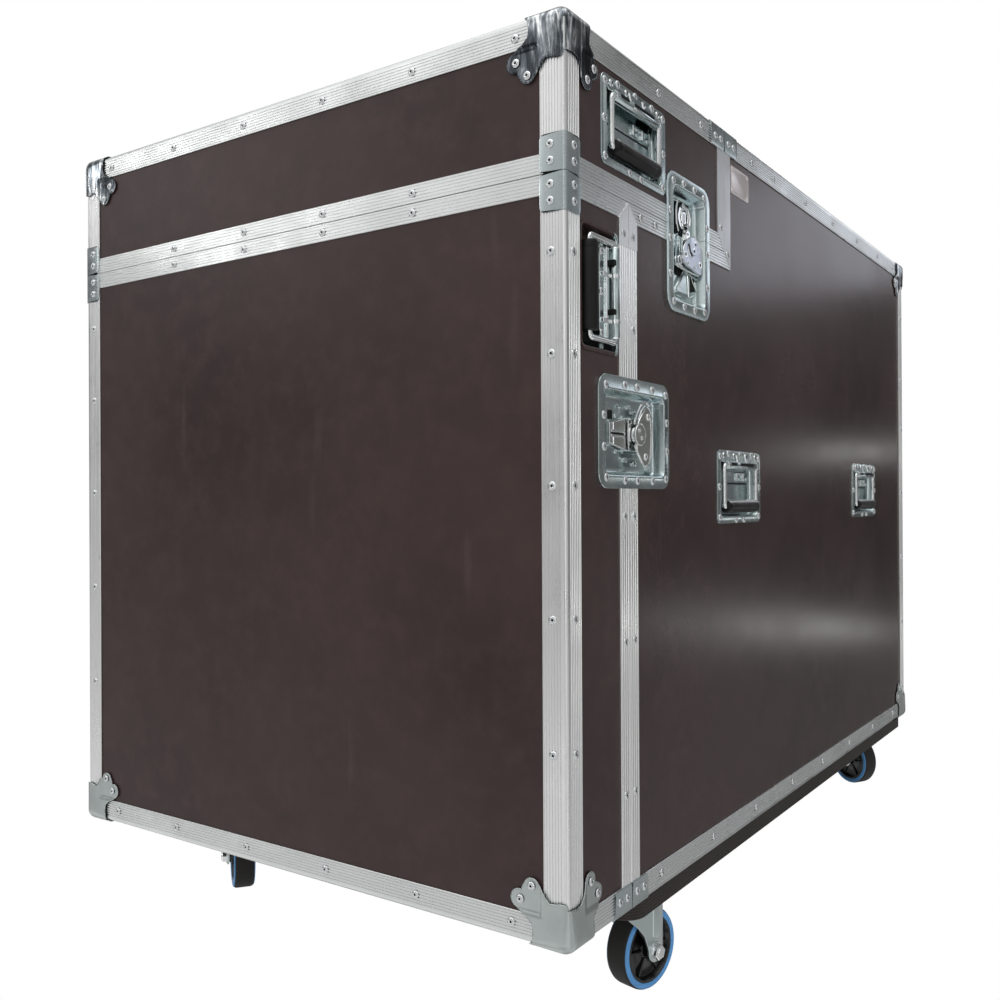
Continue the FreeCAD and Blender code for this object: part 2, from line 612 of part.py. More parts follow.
side_dish = dish(SIDE_LATCH, SIDE_RECESS, LATCH_DEPTH, LATCH_FLANGE_T, 17)
lid_dish = dish(LID_LATCH, LID_RECESS, LATCH_DEPTH, LATCH_FLANGE_T, 20)
side_mount = mount_plate(SIDE_HUB, -20, 26, -22, 22)
side_catch = box(DISH_X, DISH_X + 1.5, *near(SIDE_HUB, -51, -46, -15, 15))
lid_catch = box(DISH_X, DISH_X + 1.5, *near(LID_HUB, -23, 7, 34, 39))
write_part("body_latch_dishes", both([
    fuse([cover_seam_half(side_dish, 1), side_mount]), lid_latch_body(lid_dish)]))
write_part("cover_dishes", both([
    cover_handle_dish(), fuse([cover_seam_half(side_dish, -1), side_catch])]))
write_part("lid_dishes", both([
    handle_dish(LID_HANDLE), fuse([lid_seam_half(lid_dish, 1), lid_catch])]))
write_pair("side_latch_%s_butterfly", butterfly(SIDE_HUB, SIDE_WING))
write_pair("side_latch_%s_hook", side_hook())
write_pair("lid_latch_%s_butterfly", butterfly(LID_HUB, LID_WING))
write_pair("lid_latch_%s_hook", lid_hook())

# ---------------------------------------------------------------- rivets
RIVET_R, RIVET_H = 4.75, 1.8
EDGE = 17.0                         # rivet line from the box edge
EDGE_X = SIDE - EDGE
BRACE_PITCH = (12, 29)              # brace rivets, from the seam
TOP_PITCH = (13, 31)                # the same on the top braces
BOTTOM_Y = [FRONT + k for k in (215, 370, 524, 681, 834, 990, 1148, 1304)]
TOP_Y = [FRONT + k for k in (520, 610, 760, 907, 1055, 1201, 1320)]
LID_TOP_Y = [FRONT + k for k in (216, 340)]
UPRIGHT_Z = [BASE + k for k in (59, 198, 336, 473, 608, 713)]
BACK_Z = UPRIGHT_Z + [BASE + 845]
# (y, z) from the centre of a handle dish
HANDLE_RIVETS = [(-71, 41), (71, 41), (-71, -41), (71, -41), (-72.5, 0), (72.5, 0),
                 (-14, -45), (14, -45), (-42, 45), (0, 45), (42, 45)]
# Side latch: y from the front edge of the dish, z above and below the hub
SIDE_LATCH_BODY = [(90, 53), (128, 53), (163.5, 50), (166.5, 17)]
SIDE_LATCH_COVER = [(17, 50), (60, 53), (12, 17)]
# Lid latch: y to both sides of the middle of the dish, z
LID_LATCH_BODY = [(55, SEAM - 17), (55, SEAM - 60), (46, LID_LATCH[2] + 12),
                  (16, LID_LATCH[2] + 9)]
LID_LATCH_LID = [(55, SEAM + 17), (46, LID_LATCH[3] - 12), (16, LID_LATCH[3] - 9)]


def side_rivets(points, x=SIDE):
    """Rivets on the right side at (y, z) points."""
    return [cyl(RIVET_R, (x, y, z), XDIR, RIVET_H) for y, z in points]


def end_rivets(points, face, lift=0.0):
    """Rivets on the front or back at (x, z) points."""
    out = -inward(face)
    return [cyl(RIVET_R, (x, face + out * lift, z), YDIR * out, RIVET_H) for x, z in points]


def flat_rivets(points, face, lift=0.0):
    """Rivets on the bottom or top at (x, y) points."""
    out = -inward(face)
    return [cyl(RIVET_R, (x, y, face + out * lift), ZDIR * out, RIVET_H) for x, y in points]


def corner_rivets(face_y, face_z):
    dy, dz = inward(face_y), inward(face_z)
    rivets = []
    for a, b in ((58, 44), (44, 60)):
        rivets += side_rivets([(face_y + dy * a, face_z + dz * b)], SIDE + CORNER_T)
        rivets += end_rivets([(SIDE - a, face_z + dz * b)], face_y, CORNER_T)
        rivets += flat_rivets([(SIDE - a, face_y + dy * b)], face_z, CORNER_T)
    return rivets


def handle_rivets(centre):
    points = [(centre[0] + a, centre[1] + b) for a, b in HANDLE_RIVETS]
    return side_rivets(points, WALL + HANDLE_FLANGE_T)


def side_latch_rivets(table):
    points = [(SIDE_LATCH[0] + a, SIDE_HUB[1] + k * b) for k in (1, -1) for a, b in table]
    return side_rivets(points, WALL + LATCH_FLANGE_T)


def lid_latch_rivets(table):
    middle = (LID_LATCH[0] + LID_LATCH[1]) / 2
    points = [(middle + k * a, z) for a, z in table for k in (-1, 1)]
    return side_rivets(points, WALL + LATCH_FLANGE_T)


def body_rivets():
    low, high = BASE + EDGE, TOP - EDGE
    right = side_rivets([(y, BASE + 18) for y in BOTTOM_Y] + [(y, high) for y in TOP_Y])
    right += flat_rivets([(EDGE_X, y) for y in TOP_Y], TOP)
    right += side_rivets([(BACK - EDGE, z) for z in BACK_Z])
    right += end_rivets([(EDGE_X, z) for z in BACK_Z], BACK)
    right += corner_rivets(BACK, BASE) + corner_rivets(BACK, TOP)
    right += side_rivets([(COVER_Y + k, low) for k in BRACE_PITCH], SIDE + BRACE_T)
    right += side_rivets([(LID_Y + k, high) for k in TOP_PITCH], SIDE + BRACE_T)
    right += flat_rivets([(EDGE_X, LID_Y + k) for k in TOP_PITCH], TOP, BRACE_T)
    right += side_rivets([(COVER_Y + 11, BASE + k) for k in (130, 300, 440, 650, 755)])
    right += side_rivets([(COVER_Y + 32, SEAM - 11), (COVER_Y + 70, SEAM - 11),
                          (LID_Y + 11, SEAM - 2)])
    right += side_latch_rivets(SIDE_LATCH_BODY) + lid_latch_rivets(LID_LATCH_BODY)
    right += handle_rivets(FRONT_HANDLE) + handle_rivets(REAR_HANDLE)
    right += end_rivets([(x, z) for x in (141, 282) for z in (low, high)], BACK)
    return both(right) + end_rivets([(0, low), (0, high)], BACK)


def lid_rivets():
    high = TOP - EDGE
    right = side_rivets([(y, high) for y in LID_TOP_Y])
    right += flat_rivets([(EDGE_X, y) for y in LID_TOP_Y], TOP)
    right += corner_rivets(FRONT, TOP)
    right += side_rivets([(FRONT + EDGE, SEAM + k) for k in BRACE_PITCH], SIDE + BRACE_T)
    right += end_rivets([(EDGE_X, SEAM + k) for k in BRACE_PITCH], FRONT, BRACE_T)
    right += side_rivets([(LID_Y - k, high) for k in TOP_PITCH], SIDE + BRACE_T)
    right += flat_rivets([(EDGE_X, LID_Y - k) for k in TOP_PITCH], TOP, BRACE_T)
    right += side_rivets([(LID_Y - 12, SEAM + 30)])
    right += lid_latch_rivets(LID_LATCH_LID) + handle_rivets(LID_HANDLE)
    right += end_rivets([(70, high), (210, high), (70, SEAM + 11), (210, SEAM + 11),
                         (350, high)], FRONT)
    return both(right)


def cover_rivets():
    low = BASE + EDGE
    y, z = COVER_HANDLE
    right = corner_rivets(FRONT, BASE)
    right += side_rivets([(FRONT + EDGE, SEAM - k) for k in BRACE_PITCH], SIDE + BRACE_T)
    right += end_rivets([(EDGE_X, SEAM - k) for k in BRACE_PITCH], FRONT, BRACE_T)
    right += side_rivets([(COVER_Y - k, low) for k in BRACE_PITCH], SIDE + BRACE_T)
    right += flat_rivets([(EDGE_X, COVER_Y - k) for k in BRACE_PITCH], BASE, BRACE_T)
    right += side_rivets([(FRONT + 16, h) for h in UPRIGHT_Z[1:]])
    right += end_rivets([(EDGE_X, h) for h in UPRIGHT_Z[1:]], FRONT)
    right += side_rivets([(COVER_Y - 11, BASE + k) for k in (130, 300, 440, 755)])
    right += side_latch_rivets(SIDE_LATCH_COVER)
    right += side_rivets([(y + 8.5, z + k) for k in (44, 0, -45)], WALL - 2.0)
    right += end_rivets([(70, low), (210, low), (70, SEAM - 11), (210, SEAM - 11),
                         (340, low)], FRONT)
    return both(right)


write_part("body_rivets", body_rivets())
write_part("lid_rivets", lid_rivets())
write_part("cover_rivets", cover_rivets())

# ---------------------------------------------------------------- label plate, plinth, foam
PLINTH_T, PLINTH_X = 24.0, SIDE - 5.0
PLINTH_BOTTOM = BASE - PLINTH_T
FOAM_X = 368


def plinth_board():
    board = box(-PLINTH_X, PLINTH_X, FRONT + 152.0, BACK - 5.0, PLINTH_BOTTOM, BASE)
    board = board.makeFillet(28.0, edges_along(board, "Z"))
    # Pockets clear the corner plates and seam braces under the box.
    for k in (-1, 1):
        for y0, y1, width, depth in ((BACK - 74, BACK + 1, 74, 5),
                                     (COVER_Y, COVER_Y + BRACE_L + 3, BRACE_W + 3, 4)):
            board = board.cut(box(k * (SIDE - width), k * (SIDE + 2), y0, y1,
                                  BASE - depth, BASE + 1))
    return board


label_bounds = (FRONT + 443, FRONT + 509, BASE + 880, BASE + 919)
write_part("label_plate", [rounded_plate(label_bounds, 3, 0.6)])
write_part("plinth_board", [plinth_board()])
write_part("lid_foam", [
    box(-FOAM_X, FOAM_X, FRONT + 24, LID_Y - 16, ROOF_UNDER - 26, ROOF_UNDER)])
write_part("cover_foam", [
    box(-FOAM_X, FOAM_X, FACE_IN, FACE_IN + 32, BASE + 30, SEAM - 18)])

# ---------------------------------------------------------------- 19 inch rack frame
HOLE_X = 465.1 / 2                  # hole line from the middle
UNIT, UNITS = 44.45, 16
UNIT_HOLES = (6.35, 22.225, 38.1)   # hole heights within a unit
HOLE_R = 2.5
RAIL_Z = 186.0
RAIL_L = UNIT * UNITS
RAIL_T, RAIL_LEG, RAIL_X = 2.5, 32, 225
RAIL_FRONT, RAIL_BACK = FRONT + 160.0, FRONT + 860.0
BULKHEAD_X, BULKHEAD_T = 247.0, 15


def rail(y, way):
    """Angle rail: drilled flange facing Y, other leg against the bulkhead towards way."""
    corners = [V(RAIL_X, y, RAIL_Z), V(BULKHEAD_X, y, RAIL_Z),
               V(BULKHEAD_X, y, RAIL_Z + RAIL_L), V(RAIL_X, y, RAIL_Z + RAIL_L)]
    wires = [Part.makePolygon(corners + [corners[0]])]
    for unit in range(UNITS):
        for height in UNIT_HOLES:
            centre = V(HOLE_X, y, RAIL_Z + unit * UNIT + height)
            wires.append(Part.Wire(Part.Circle(centre, YDIR, HOLE_R).toShape()))
    face = Part.makeFace(wires, "Part::FaceMakerBullseye")
    flange = face.extrude(YDIR * (way * RAIL_T))
    leg = box(BULKHEAD_X - RAIL_T, BULKHEAD_X, y, y + way * RAIL_LEG, RAIL_Z, RAIL_Z + RAIL_L)
    return flange.fuse(leg).removeSplitter()


write_part("rack_bulkheads", both([
    box(BULKHEAD_X, BULKHEAD_X + BULKHEAD_T, RAIL_FRONT + 2, RAIL_BACK,
        FLOOR_TOP, DECK_UNDER)]))
write_part("rack_rails", both([rail(RAIL_FRONT, 1), rail(RAIL_BACK, -1)]))

# ---------------------------------------------------------------- castors
# Each is built with its swivel axis on Z and its wheel trailing towards +X.
WHEEL_R, WHEEL_W, TRAIL = 50.0, 31.0, 36.0
RIM_R = 41
CROWN_Z = PLINTH_BOTTOM - 6.0       # top of the fork crown
CASTOR_X, CASTOR_FRONT, CASTOR_BACK = 348.0, FRONT + 231.0, FRONT + 1335.0
# name, x, y, swivel angle in degrees
CASTORS = [
    ("front_right", CASTOR_X, CASTOR_FRONT, 78.0),
    ("front_left", -CASTOR_X, CASTOR_FRONT, -36.5),
    ("rear_right", CASTOR_X, CASTOR_BACK, 150.5),
    ("rear_left", -CASTOR_X, CASTOR_BACK, 24.0),
]
# (x, z) outline of a fork cheek
CHEEK = [(-19, CROWN_Z - 3.0), (TRAIL + 4, CROWN_Z - 3.0), (TRAIL + 13, WHEEL_R + 4),
         (TRAIL + 9, WHEEL_R - 9), (TRAIL - 9, WHEEL_R - 10), (TRAIL - 14, WHEEL_R)]


def castor_plate():
    plate = box(-47, 47, -37, 37, PLINTH_BOTTOM - 4, PLINTH_BOTTOM)
    plate = plate.makeFillet(8, edges_along(plate, "Z"))
    pin = cyl(8, (0, 0, PLINTH_BOTTOM - 16), ZDIR, 12.0)
    pin = pin.fuse(cyl(12, (0, 0, PLINTH_BOTTOM - 19), ZDIR, 3.0))
    return plate.fuse(pin).removeSplitter()


def castor_fork():
    fork = cyl(30, (0, 0, CROWN_Z - 6), ZDIR, 6)
    fork = fork.fuse(box(-20, TRAIL + 4, -24.0, 24.0, CROWN_Z - 6, CROWN_Z - 3))
    for k in (-1, 1):
        fork = fork.fuse(prism([(x, k * 21.0, z) for x, z in CHEEK], (0, k * 3.0, 0)))
    fork = fork.cut(cyl(8.05, (0, 0, CROWN_Z - 20), ZDIR, 40))
    fork = fork.cut(cyl(12.5, (0, 0, CROWN_Z - 30), ZDIR, 24))
    # Axle with a hexagonal head on one end and a round one on the other
    fork = fork.fuse(cyl(6, (TRAIL, -24.0, WHEEL_R), YDIR, 48.0)).removeSplitter()
    turns = [math.radians(60 * i) for i in range(7)]
    hexagon = Part.makePolygon([V(TRAIL + 8.5 * math.cos(t), 24.0, WHEEL_R + 8.5 * math.sin(t))
                                for t in turns])
    fork = fork.fuse(Part.Face(hexagon).extrude(V(0, 6, 0)))
    return fork.fuse(cyl(9, (TRAIL, -24.0, WHEEL_R), -YDIR, 5)).removeSplitter()


def castor_hub():
    hub = cyl(RIM_R, (TRAIL, -14.5, WHEEL_R), YDIR, 29)
    hub = hub.fuse(cyl(11, (TRAIL, -20.5, WHEEL_R), YDIR, 41))
    return hub.cut(cyl(6.05, (TRAIL, -30, WHEEL_R), YDIR, 60)).removeSplitter()


def castor_tyre():
    tyre = cyl(WHEEL_R, (TRAIL, -WHEEL_W / 2, WHEEL_R), YDIR, WHEEL_W)
    rims = [e for e in tyre.Edges if e.Length > 100 and abs(e.BoundBox.YLength) < 1e-3]
    tyre = tyre.makeFillet(3.5, rims)
    return tyre.cut(cyl(RIM_R, (TRAIL, -40, WHEEL_R), YDIR, 80))


def placed(shape, x, y, angle=0.0):
    if angle:
        shape.rotate(V(0, 0, 0), ZDIR, angle)
    shape.translate(V(x, y, 0))
    return shape


for name, x, y, angle in CASTORS:
    write_part("castor_%s_fork" % name, [placed(castor_fork(), x, y, angle)])
    write_part("castor_%s_wheel" % name,
               [placed(castor_hub(), x, y, angle), placed(castor_tyre(), x, y, angle)])
write_part("castor_plates", [placed(castor_plate(), x, y) for _, x, y, _ in CASTORS])
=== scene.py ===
"""Transport case on four castors, with a removable lid section and front cover.

x runs across the case (+x is its right side), the front faces -y and z is up, with the floor
at z = 0. Shapes are modelled in millimetres and turned into metres when an object is made.
Most parts are drawn in a local frame with axes a, b and h, where h points outward.
"""

import bpy
import bmesh
import json
import math
import random
import numpy as np
from functools import cached_property
from mathutils import Vector, Matrix


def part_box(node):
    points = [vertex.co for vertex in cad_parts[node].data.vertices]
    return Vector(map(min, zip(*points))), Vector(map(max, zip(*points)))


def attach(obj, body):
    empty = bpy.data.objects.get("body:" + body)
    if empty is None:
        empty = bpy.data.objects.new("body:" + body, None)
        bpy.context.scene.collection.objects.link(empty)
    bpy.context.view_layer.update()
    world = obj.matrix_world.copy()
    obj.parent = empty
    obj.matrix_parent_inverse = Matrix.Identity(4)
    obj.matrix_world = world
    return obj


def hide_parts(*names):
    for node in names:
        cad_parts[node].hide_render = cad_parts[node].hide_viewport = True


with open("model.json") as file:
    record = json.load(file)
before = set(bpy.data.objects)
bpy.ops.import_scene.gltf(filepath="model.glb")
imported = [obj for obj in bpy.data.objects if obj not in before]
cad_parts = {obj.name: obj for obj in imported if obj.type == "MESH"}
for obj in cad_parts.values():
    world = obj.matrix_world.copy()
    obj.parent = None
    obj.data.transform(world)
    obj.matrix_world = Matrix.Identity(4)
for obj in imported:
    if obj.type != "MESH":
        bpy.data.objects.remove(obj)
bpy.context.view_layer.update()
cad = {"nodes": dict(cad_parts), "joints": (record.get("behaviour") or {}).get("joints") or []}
random.seed(7)
NODES = cad["nodes"]
JOINTS = {joint["name"]: joint for joint in cad["joints"]}
pi = math.pi

BODY, LID, COVER = "root", "lid", "front_cover"
PREFIX = {BODY: "body", LID: "lid", COVER: "cover"}
SIDES = ((1, "right"), (-1, "left"))
X, Y, Z = (1, 0, 0), (0, 1, 0), (0, 0, 1)
MINUS_X, MINUS_Y, MINUS_Z = (-1, 0, 0), (0, -1, 0), (0, 0, -1)

# Material slots of the pressed dishes; other metal parts use the first two or three.
# The second slot is painted shade for holes and gaps, the third is painted shade for recesses,
# slots and the ground under wires, and the fifth paints shade and the grip's dark reflection on
# part of the cover's dish.
PLAIN, HOLE_AND_GAP_SHADE, PAINTED_SHADE, BRIGHT, SHADED_RIM = range(5)
GREY = 2        # third slot of the latch hooks and wings


# ---------------------------------------------------------------- CAD pieces
def box_mm(node):
    low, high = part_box(node)
    return np.array(low) * 1000.0, np.array(high) * 1000.0


def islands(node):
    """Separate solids of a CAD node, each as (points in mm, faces, low corner, high corner)."""
    mesh = bmesh.new()
    mesh.from_mesh(NODES[node].data)
    bmesh.ops.remove_doubles(mesh, verts=mesh.verts, dist=2e-6)
    mesh.verts.index_update()
    seen = set()
    solids = []
    for start in mesh.verts:
        if start.index in seen:
            continue
        stack, group = [start], []
        seen.add(start.index)
        while stack:
            vert = stack.pop()
            group.append(vert)
            for edge in vert.link_edges:
                other = edge.other_vert(vert)
                if other.index not in seen:
                    seen.add(other.index)
                    stack.append(other)
        order = {vert.index: i for i, vert in enumerate(group)}
        points = np.array([vert.co for vert in group]) * 1000.0
        faces = {face.index: [order[vert.index] for vert in face.verts]
                 for vert in group for face in vert.link_faces}
        solids.append((points, list(faces.values()), points.min(0), points.max(0)))
    mesh.free()
    return solids


# ---------------------------------------------------------------- frames and outlines
def axes(a, b, h, origin=(0, 0, 0)):
    """4 x 4 matrix of a local frame."""
    place = np.eye(4)
    for i, column in enumerate((a, b, h, origin)):
        place[:3, i] = column
    return place


def shifted(place, a, b, h=0.0):
    """Frame moved by (a, b, h) along its own axes."""
    moved = place.copy()
    moved[:3, 3] = place[:3, 3] + place[:3, 0] * a + place[:3, 1] * b + place[:3, 2] * h
    return moved


def spot(a, b, h=0.0):
    return shifted(np.eye(4), a, b, h)


def turned(place, degrees):
    """Frame turned about its own third axis."""
    cos, sin = math.cos(math.radians(degrees)), math.sin(math.radians(degrees))
    turn = np.eye(4)
    turn[:2, :2] = [[cos, -sin], [sin, cos]]
    return place @ turn


def arc(x, y, radius, start, end, steps):
    """Points on an arc, from start to end in degrees."""
    angles = [math.radians(start + (end - start) * i / steps) for i in range(steps + 1)]
    return [(x + radius * math.cos(t), y + radius * math.sin(t)) for t in angles]


def circle(radius, sides, x=0.0, y=0.0):
    angles = [2 * pi * i / sides for i in range(sides)]
    return [(x + radius * math.cos(t), y + radius * math.sin(t)) for t in angles]


def round_rect(a0, a1, b0, b1, radius, steps=6):
    r = max(0.05, min(radius, (a1 - a0) / 2 - 0.01, (b1 - b0) / 2 - 0.01))
    corners = ((a1 - r, b1 - r, 0), (a0 + r, b1 - r, 90),
               (a0 + r, b0 + r, 180), (a1 - r, b0 + r, 270))
    return [p for x, y, start in corners for p in arc(x, y, r, start, start + 90, steps)]


def grown(outline, distance):
    """Counter-clockwise outline moved outward."""
    points = np.asarray(outline, float)
    out = []
    for i in range(len(points)):
        before = points[i] - points[i - 1]
        after = points[(i + 1) % len(points)] - points[i]
        normals = [np.array([e[1], -e[0]]) / (np.linalg.norm(e) + 1e-9) for e in (before, after)]
        middle = normals[0] + normals[1]
        # the limit keeps sharp corners from shooting out
        out.append(tuple(points[i] + middle * distance / max(np.dot(middle, middle) / 2, 0.35)))
    return out


def corners_cut(outline):
    """Closed outline with its corners cut, twice over."""
    points = [np.array(p, float) for p in outline]
    for _ in range(2):
        cut = []
        for i, start in enumerate(points):
            end = points[(i + 1) % len(points)]
            cut += [start * 0.8 + end * 0.2, start * 0.2 + end * 0.8]
        points = cut
    return [tuple(p) for p in points]


def lifted(outline, height):
    return [(x, y, height) for x, y in outline]


def bend(path, radius, steps=6):
    """Polyline with its inner corners rounded."""
    points = [np.array(p, float) for p in path]
    out = [points[0]]
    for before, corner, after in zip(points, points[1:], points[2:]):
        back, ahead = before - corner, after - corner
        back_length, ahead_length = np.linalg.norm(back), np.linalg.norm(ahead)
        back, ahead = back / back_length, ahead / ahead_length
        angle = math.acos(max(-1, min(1, float(np.dot(back, ahead)))))
        if angle > math.radians(177):
            out.append(corner)
            continue
        reach = min(radius / math.tan(angle / 2), back_length * 0.49, ahead_length * 0.49)
        used = reach * math.tan(angle / 2)
        middle = (back + ahead) / np.linalg.norm(back + ahead)
        centre = corner + middle * (used / math.sin(angle / 2))
        start, end = corner + back * reach - centre, corner + ahead * reach - centre
        sweep = pi - angle
        for i in range(steps + 1):
            t = i / steps
            spoke = math.sin((1 - t) * sweep) * start + math.sin(t * sweep) * end
            out.append(centre + spoke / math.sin(sweep))
    out.append(points[-1])
    return out


def ease(t):
    """Smooth step, held at 0 and 1 outside that range."""
    t = min(1, max(0, t))
    return t * t * (3 - 2 * t)


# ---------------------------------------------------------------- mesh building
class Shape:
    """Mesh in millimetres: points, faces and a material slot for each face."""

    def __init__(self):
        self.blocks, self.faces, self.slots = [], [], []
        self.count = 0

    def points(self):
        return np.vstack(self.blocks)

    def add(self, points, faces, place=None, slot=0):
        """slot is one number, or a list with one per face."""
        points = np.asarray(points, float).reshape(-1, 3)
        mirrored = False
        if place is not None:
            points = points @ place[:3, :3].T + place[:3, 3]
            mirrored = np.linalg.det(place[:3, :3]) < 0
        for face in faces:
            ids = [self.count + i for i in face]
            self.faces.append(ids[::-1] if mirrored else ids)
        self.slots += slot if isinstance(slot, list) else [slot] * len(faces)
        self.blocks.append(points)
        self.count += len(points)

    def merge(self, other, place=None):
        self.add(other.points(), other.faces, place, other.slots)

    def loft(self, rings, place=None, slot=0, cap_start=True, cap_end=True):
        """rings: (outline, height) from low to high, all with the same number of points."""
        n = len(rings[0][0])
        points = [(x, y, height) for outline, height in rings for x, y in outline]
        faces = [(r * n + i, r * n + (i + 1) % n, (r + 1) * n + (i + 1) % n, (r + 1) * n + i)
                 for r in range(len(rings) - 1) for i in range(n)]
        if cap_start:
            faces.append(tuple(reversed(range(n))))
        if cap_end:
            faces.append(tuple((len(rings) - 1) * n + i for i in range(n)))
        self.add(points, faces, place, slot)

    def plate(self, outline, low, high, bevel=0.4, slot=0):
        """Flat piece with a bevelled top edge."""
        self.loft([(outline, low), (outline, high - bevel), (grown(outline, -bevel), high)],
                  slot=slot)

    def pad(self, a0, a1, b0, b1, radius, low, high, bevel=0.4, slot=0):
        """Plate with a rounded rectangle as its outline."""
        self.plate(round_rect(a0, a1, b0, b1, radius), low, high, bevel, slot)

    def pads(self, *rows):
        """Rows hold the arguments of pad."""
        for row in rows:
            self.pad(*row)

    def ring_plate(self, outer, inner, low, high):
        """Flat plate with a hole; both outlines have the same number of points."""
        n = len(outer)
        points = [(x, y, h) for h in (low, high) for line in (outer, inner) for x, y in line]
        faces = []
        for i in range(n):
            j = (i + 1) % n
            faces += [(i, j, 2 * n + j, 2 * n + i), (n + j, n + i, 3 * n + i, 3 * n + j),
                      (2 * n + i, 2 * n + j, 3 * n + j, 3 * n + i), (j, i, n + i, n + j)]
        self.add(points, faces)

    def lathe(self, profile, sides, place=None, slot=0, closed=False, cap_end=True):
        """(radius, height) profile turned about the third axis; radius 0 closes to a point."""
        points, faces, rows = [], [], []
        for radius, height in profile:
            if radius < 1e-6:
                rows.append([len(points)] * sides)
                points.append((0, 0, height))
            else:
                rows.append(range(len(points), len(points) + sides))
                points += lifted(circle(radius, sides), height)
        for low, high in zip(rows, rows[1:] + (rows[:1] if closed else [])):
            for i in range(sides):
                j = (i + 1) % sides
                corners = tuple(dict.fromkeys((low[i], low[j], high[j], high[i])))
                if len(corners) >= 3:
                    faces.append(corners)
        if not closed:
            if profile[0][0] > 1e-6:
                faces.append(tuple(reversed(rows[0])))
            if cap_end and profile[-1][0] > 1e-6:
                faces.append(tuple(rows[-1]))
        self.add(points, faces, place, slot)

    def tube(self, path, radius, sides, place=None, slot=0, closed=False):
        line = [np.array(p, float) for p in path]
        count = len(line)
        tangents = []
        for i in range(count):
            if closed:
                step = line[(i + 1) % count] - line[i - 1]
            else:
                step = line[min(i + 1, count - 1)] - line[max(i - 1, 0)]
            tangents.append(step / np.linalg.norm(step))
        reference = np.array([0, 0, 1.0] if abs(tangents[0][2]) < 0.9 else [1.0, 0, 0])
        normal = np.cross(tangents[0], reference)
        normal /= np.linalg.norm(normal)
        points, faces = [], []
        for centre, tangent in zip(line, tangents):
            normal = normal - tangent * np.dot(normal, tangent)
            normal /= np.linalg.norm(normal)
            other = np.cross(tangent, normal)
            for x, y in circle(radius, sides):
                points.append(centre + (x * normal + y * other))
        for i in range(count if closed else count - 1):
            low, high = i * sides, ((i + 1) % count) * sides
            for k in range(sides):
                j = (k + 1) % sides
                faces.append((low + k, low + j, high + j, high + k))
        if not closed:
            faces.append(tuple(reversed(range(sides))))
            faces.append(tuple((count - 1) * sides + k for k in range(sides)))
        self.add(points, faces, place, slot)

    def rim(self, radius, height, wire, sides, wire_sides, place=None, slot=0):
        """Wire ring about the third axis."""
        self.tube(lifted(circle(radius, sides), height), wire, wire_sides, place, slot, True)

    def prism(self, profile, place, start, end, start_shift=None, end_shift=None, slot=0):
        """Profile swept along the third axis; the shifts move the end points, as for a mitre."""
        n = len(profile)
        points = [(u, v, level + (shift(u, v) if shift else 0))
                  for level, shift in ((start, start_shift), (end, end_shift)) for u, v in profile]
        faces = [(i, (i + 1) % n, n + (i + 1) % n, n + i) for i in range(n)]
        faces += [tuple(reversed(range(n))), tuple(n + i for i in range(n))]
        self.add(points, faces, place, slot)

    def rivet(self, place, radius=4.75, height=1.9):
        """Domed head with a rolled rim and a bore in its centre."""
        r = radius
        profile = [(r, 0.0), (r, 0.45), (r - 0.35 * r / 4.75, 0.95),
                   (r * 0.72, 1.55 * height / 1.9), (r * 0.5, height),
                   (r * 0.36, height - 0.12), (r * 0.29, height - 0.55)]
        self.lathe(profile, 18, place, cap_end=False)
        # the bore is painted with shade
        bore = [(circle(r * 0.29, 18), height - 0.55), (circle(r * 0.27, 18), height - 1.5)]
        self.loft(bore, place, HOLE_AND_GAP_SHADE, cap_start=False)

    def disc(self, a, b, radius, height, slot):
        self.lathe([(radius, height - 0.6), (radius, height), (0, height)], 16, spot(a, b), slot)


def cut(shape, point, normal):
    """Copy of a shape with all beyond a plane removed and the cut closed."""
    data = bpy.data.meshes.new("tmp")
    data.from_pydata(shape.points().tolist(), [], shape.faces)
    data.polygons.foreach_set("material_index", shape.slots)
    mesh = bmesh.new()
    mesh.from_mesh(data)
    bmesh.ops.remove_doubles(mesh, verts=mesh.verts, dist=1e-4)
    bmesh.ops.bisect_plane(mesh, geom=mesh.verts[:] + mesh.edges[:] + mesh.faces[:], dist=1e-5,
                           plane_co=point, plane_no=normal, clear_outer=True)
    open_edges = [edge for edge in mesh.edges if edge.is_boundary]
    if open_edges:
        bmesh.ops.holes_fill(mesh, edges=open_edges, sides=0)
    mesh.verts.index_update()
    half = Shape()
    half.add([tuple(vert.co) for vert in mesh.verts],
             [[vert.index for vert in face.verts] for face in mesh.faces],
             slot=[face.material_index for face in mesh.faces])
    mesh.free()
    bpy.data.meshes.remove(data)
    return half


def per_body():
    return {body: Shape() for body in PREFIX}


def build(name, shape, materials, body, replaced=(), angle=35, shell=0.0, recalc=True):
    """Make the object: angle is the sharp-edge limit in degrees, shell a thickness in mm."""
    data = bpy.data.meshes.new(name)
    data.from_pydata((shape.points() * 0.001).tolist(), [], shape.faces)
    data.polygons.foreach_set("material_index", shape.slots)
    for material in materials:
        data.materials.append(material)
    data.validate()
    if recalc:
        mesh = bmesh.new()
        mesh.from_mesh(data)
        bmesh.ops.recalc_face_normals(mesh, faces=mesh.faces)
        mesh.to_mesh(data)
        mesh.free()
    for polygon in data.polygons:
        polygon.use_smooth = True
    data.set_sharp_from_angle(angle=math.radians(angle))
    item = bpy.data.objects.new(name, data)
    bpy.context.scene.collection.objects.link(item)
    if shell:
        solidify = item.modifiers.new("t", "SOLIDIFY")
        solidify.thickness = shell * 0.001
        solidify.offset = -1
    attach(item, body)
    if replaced:
        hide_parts(*replaced)


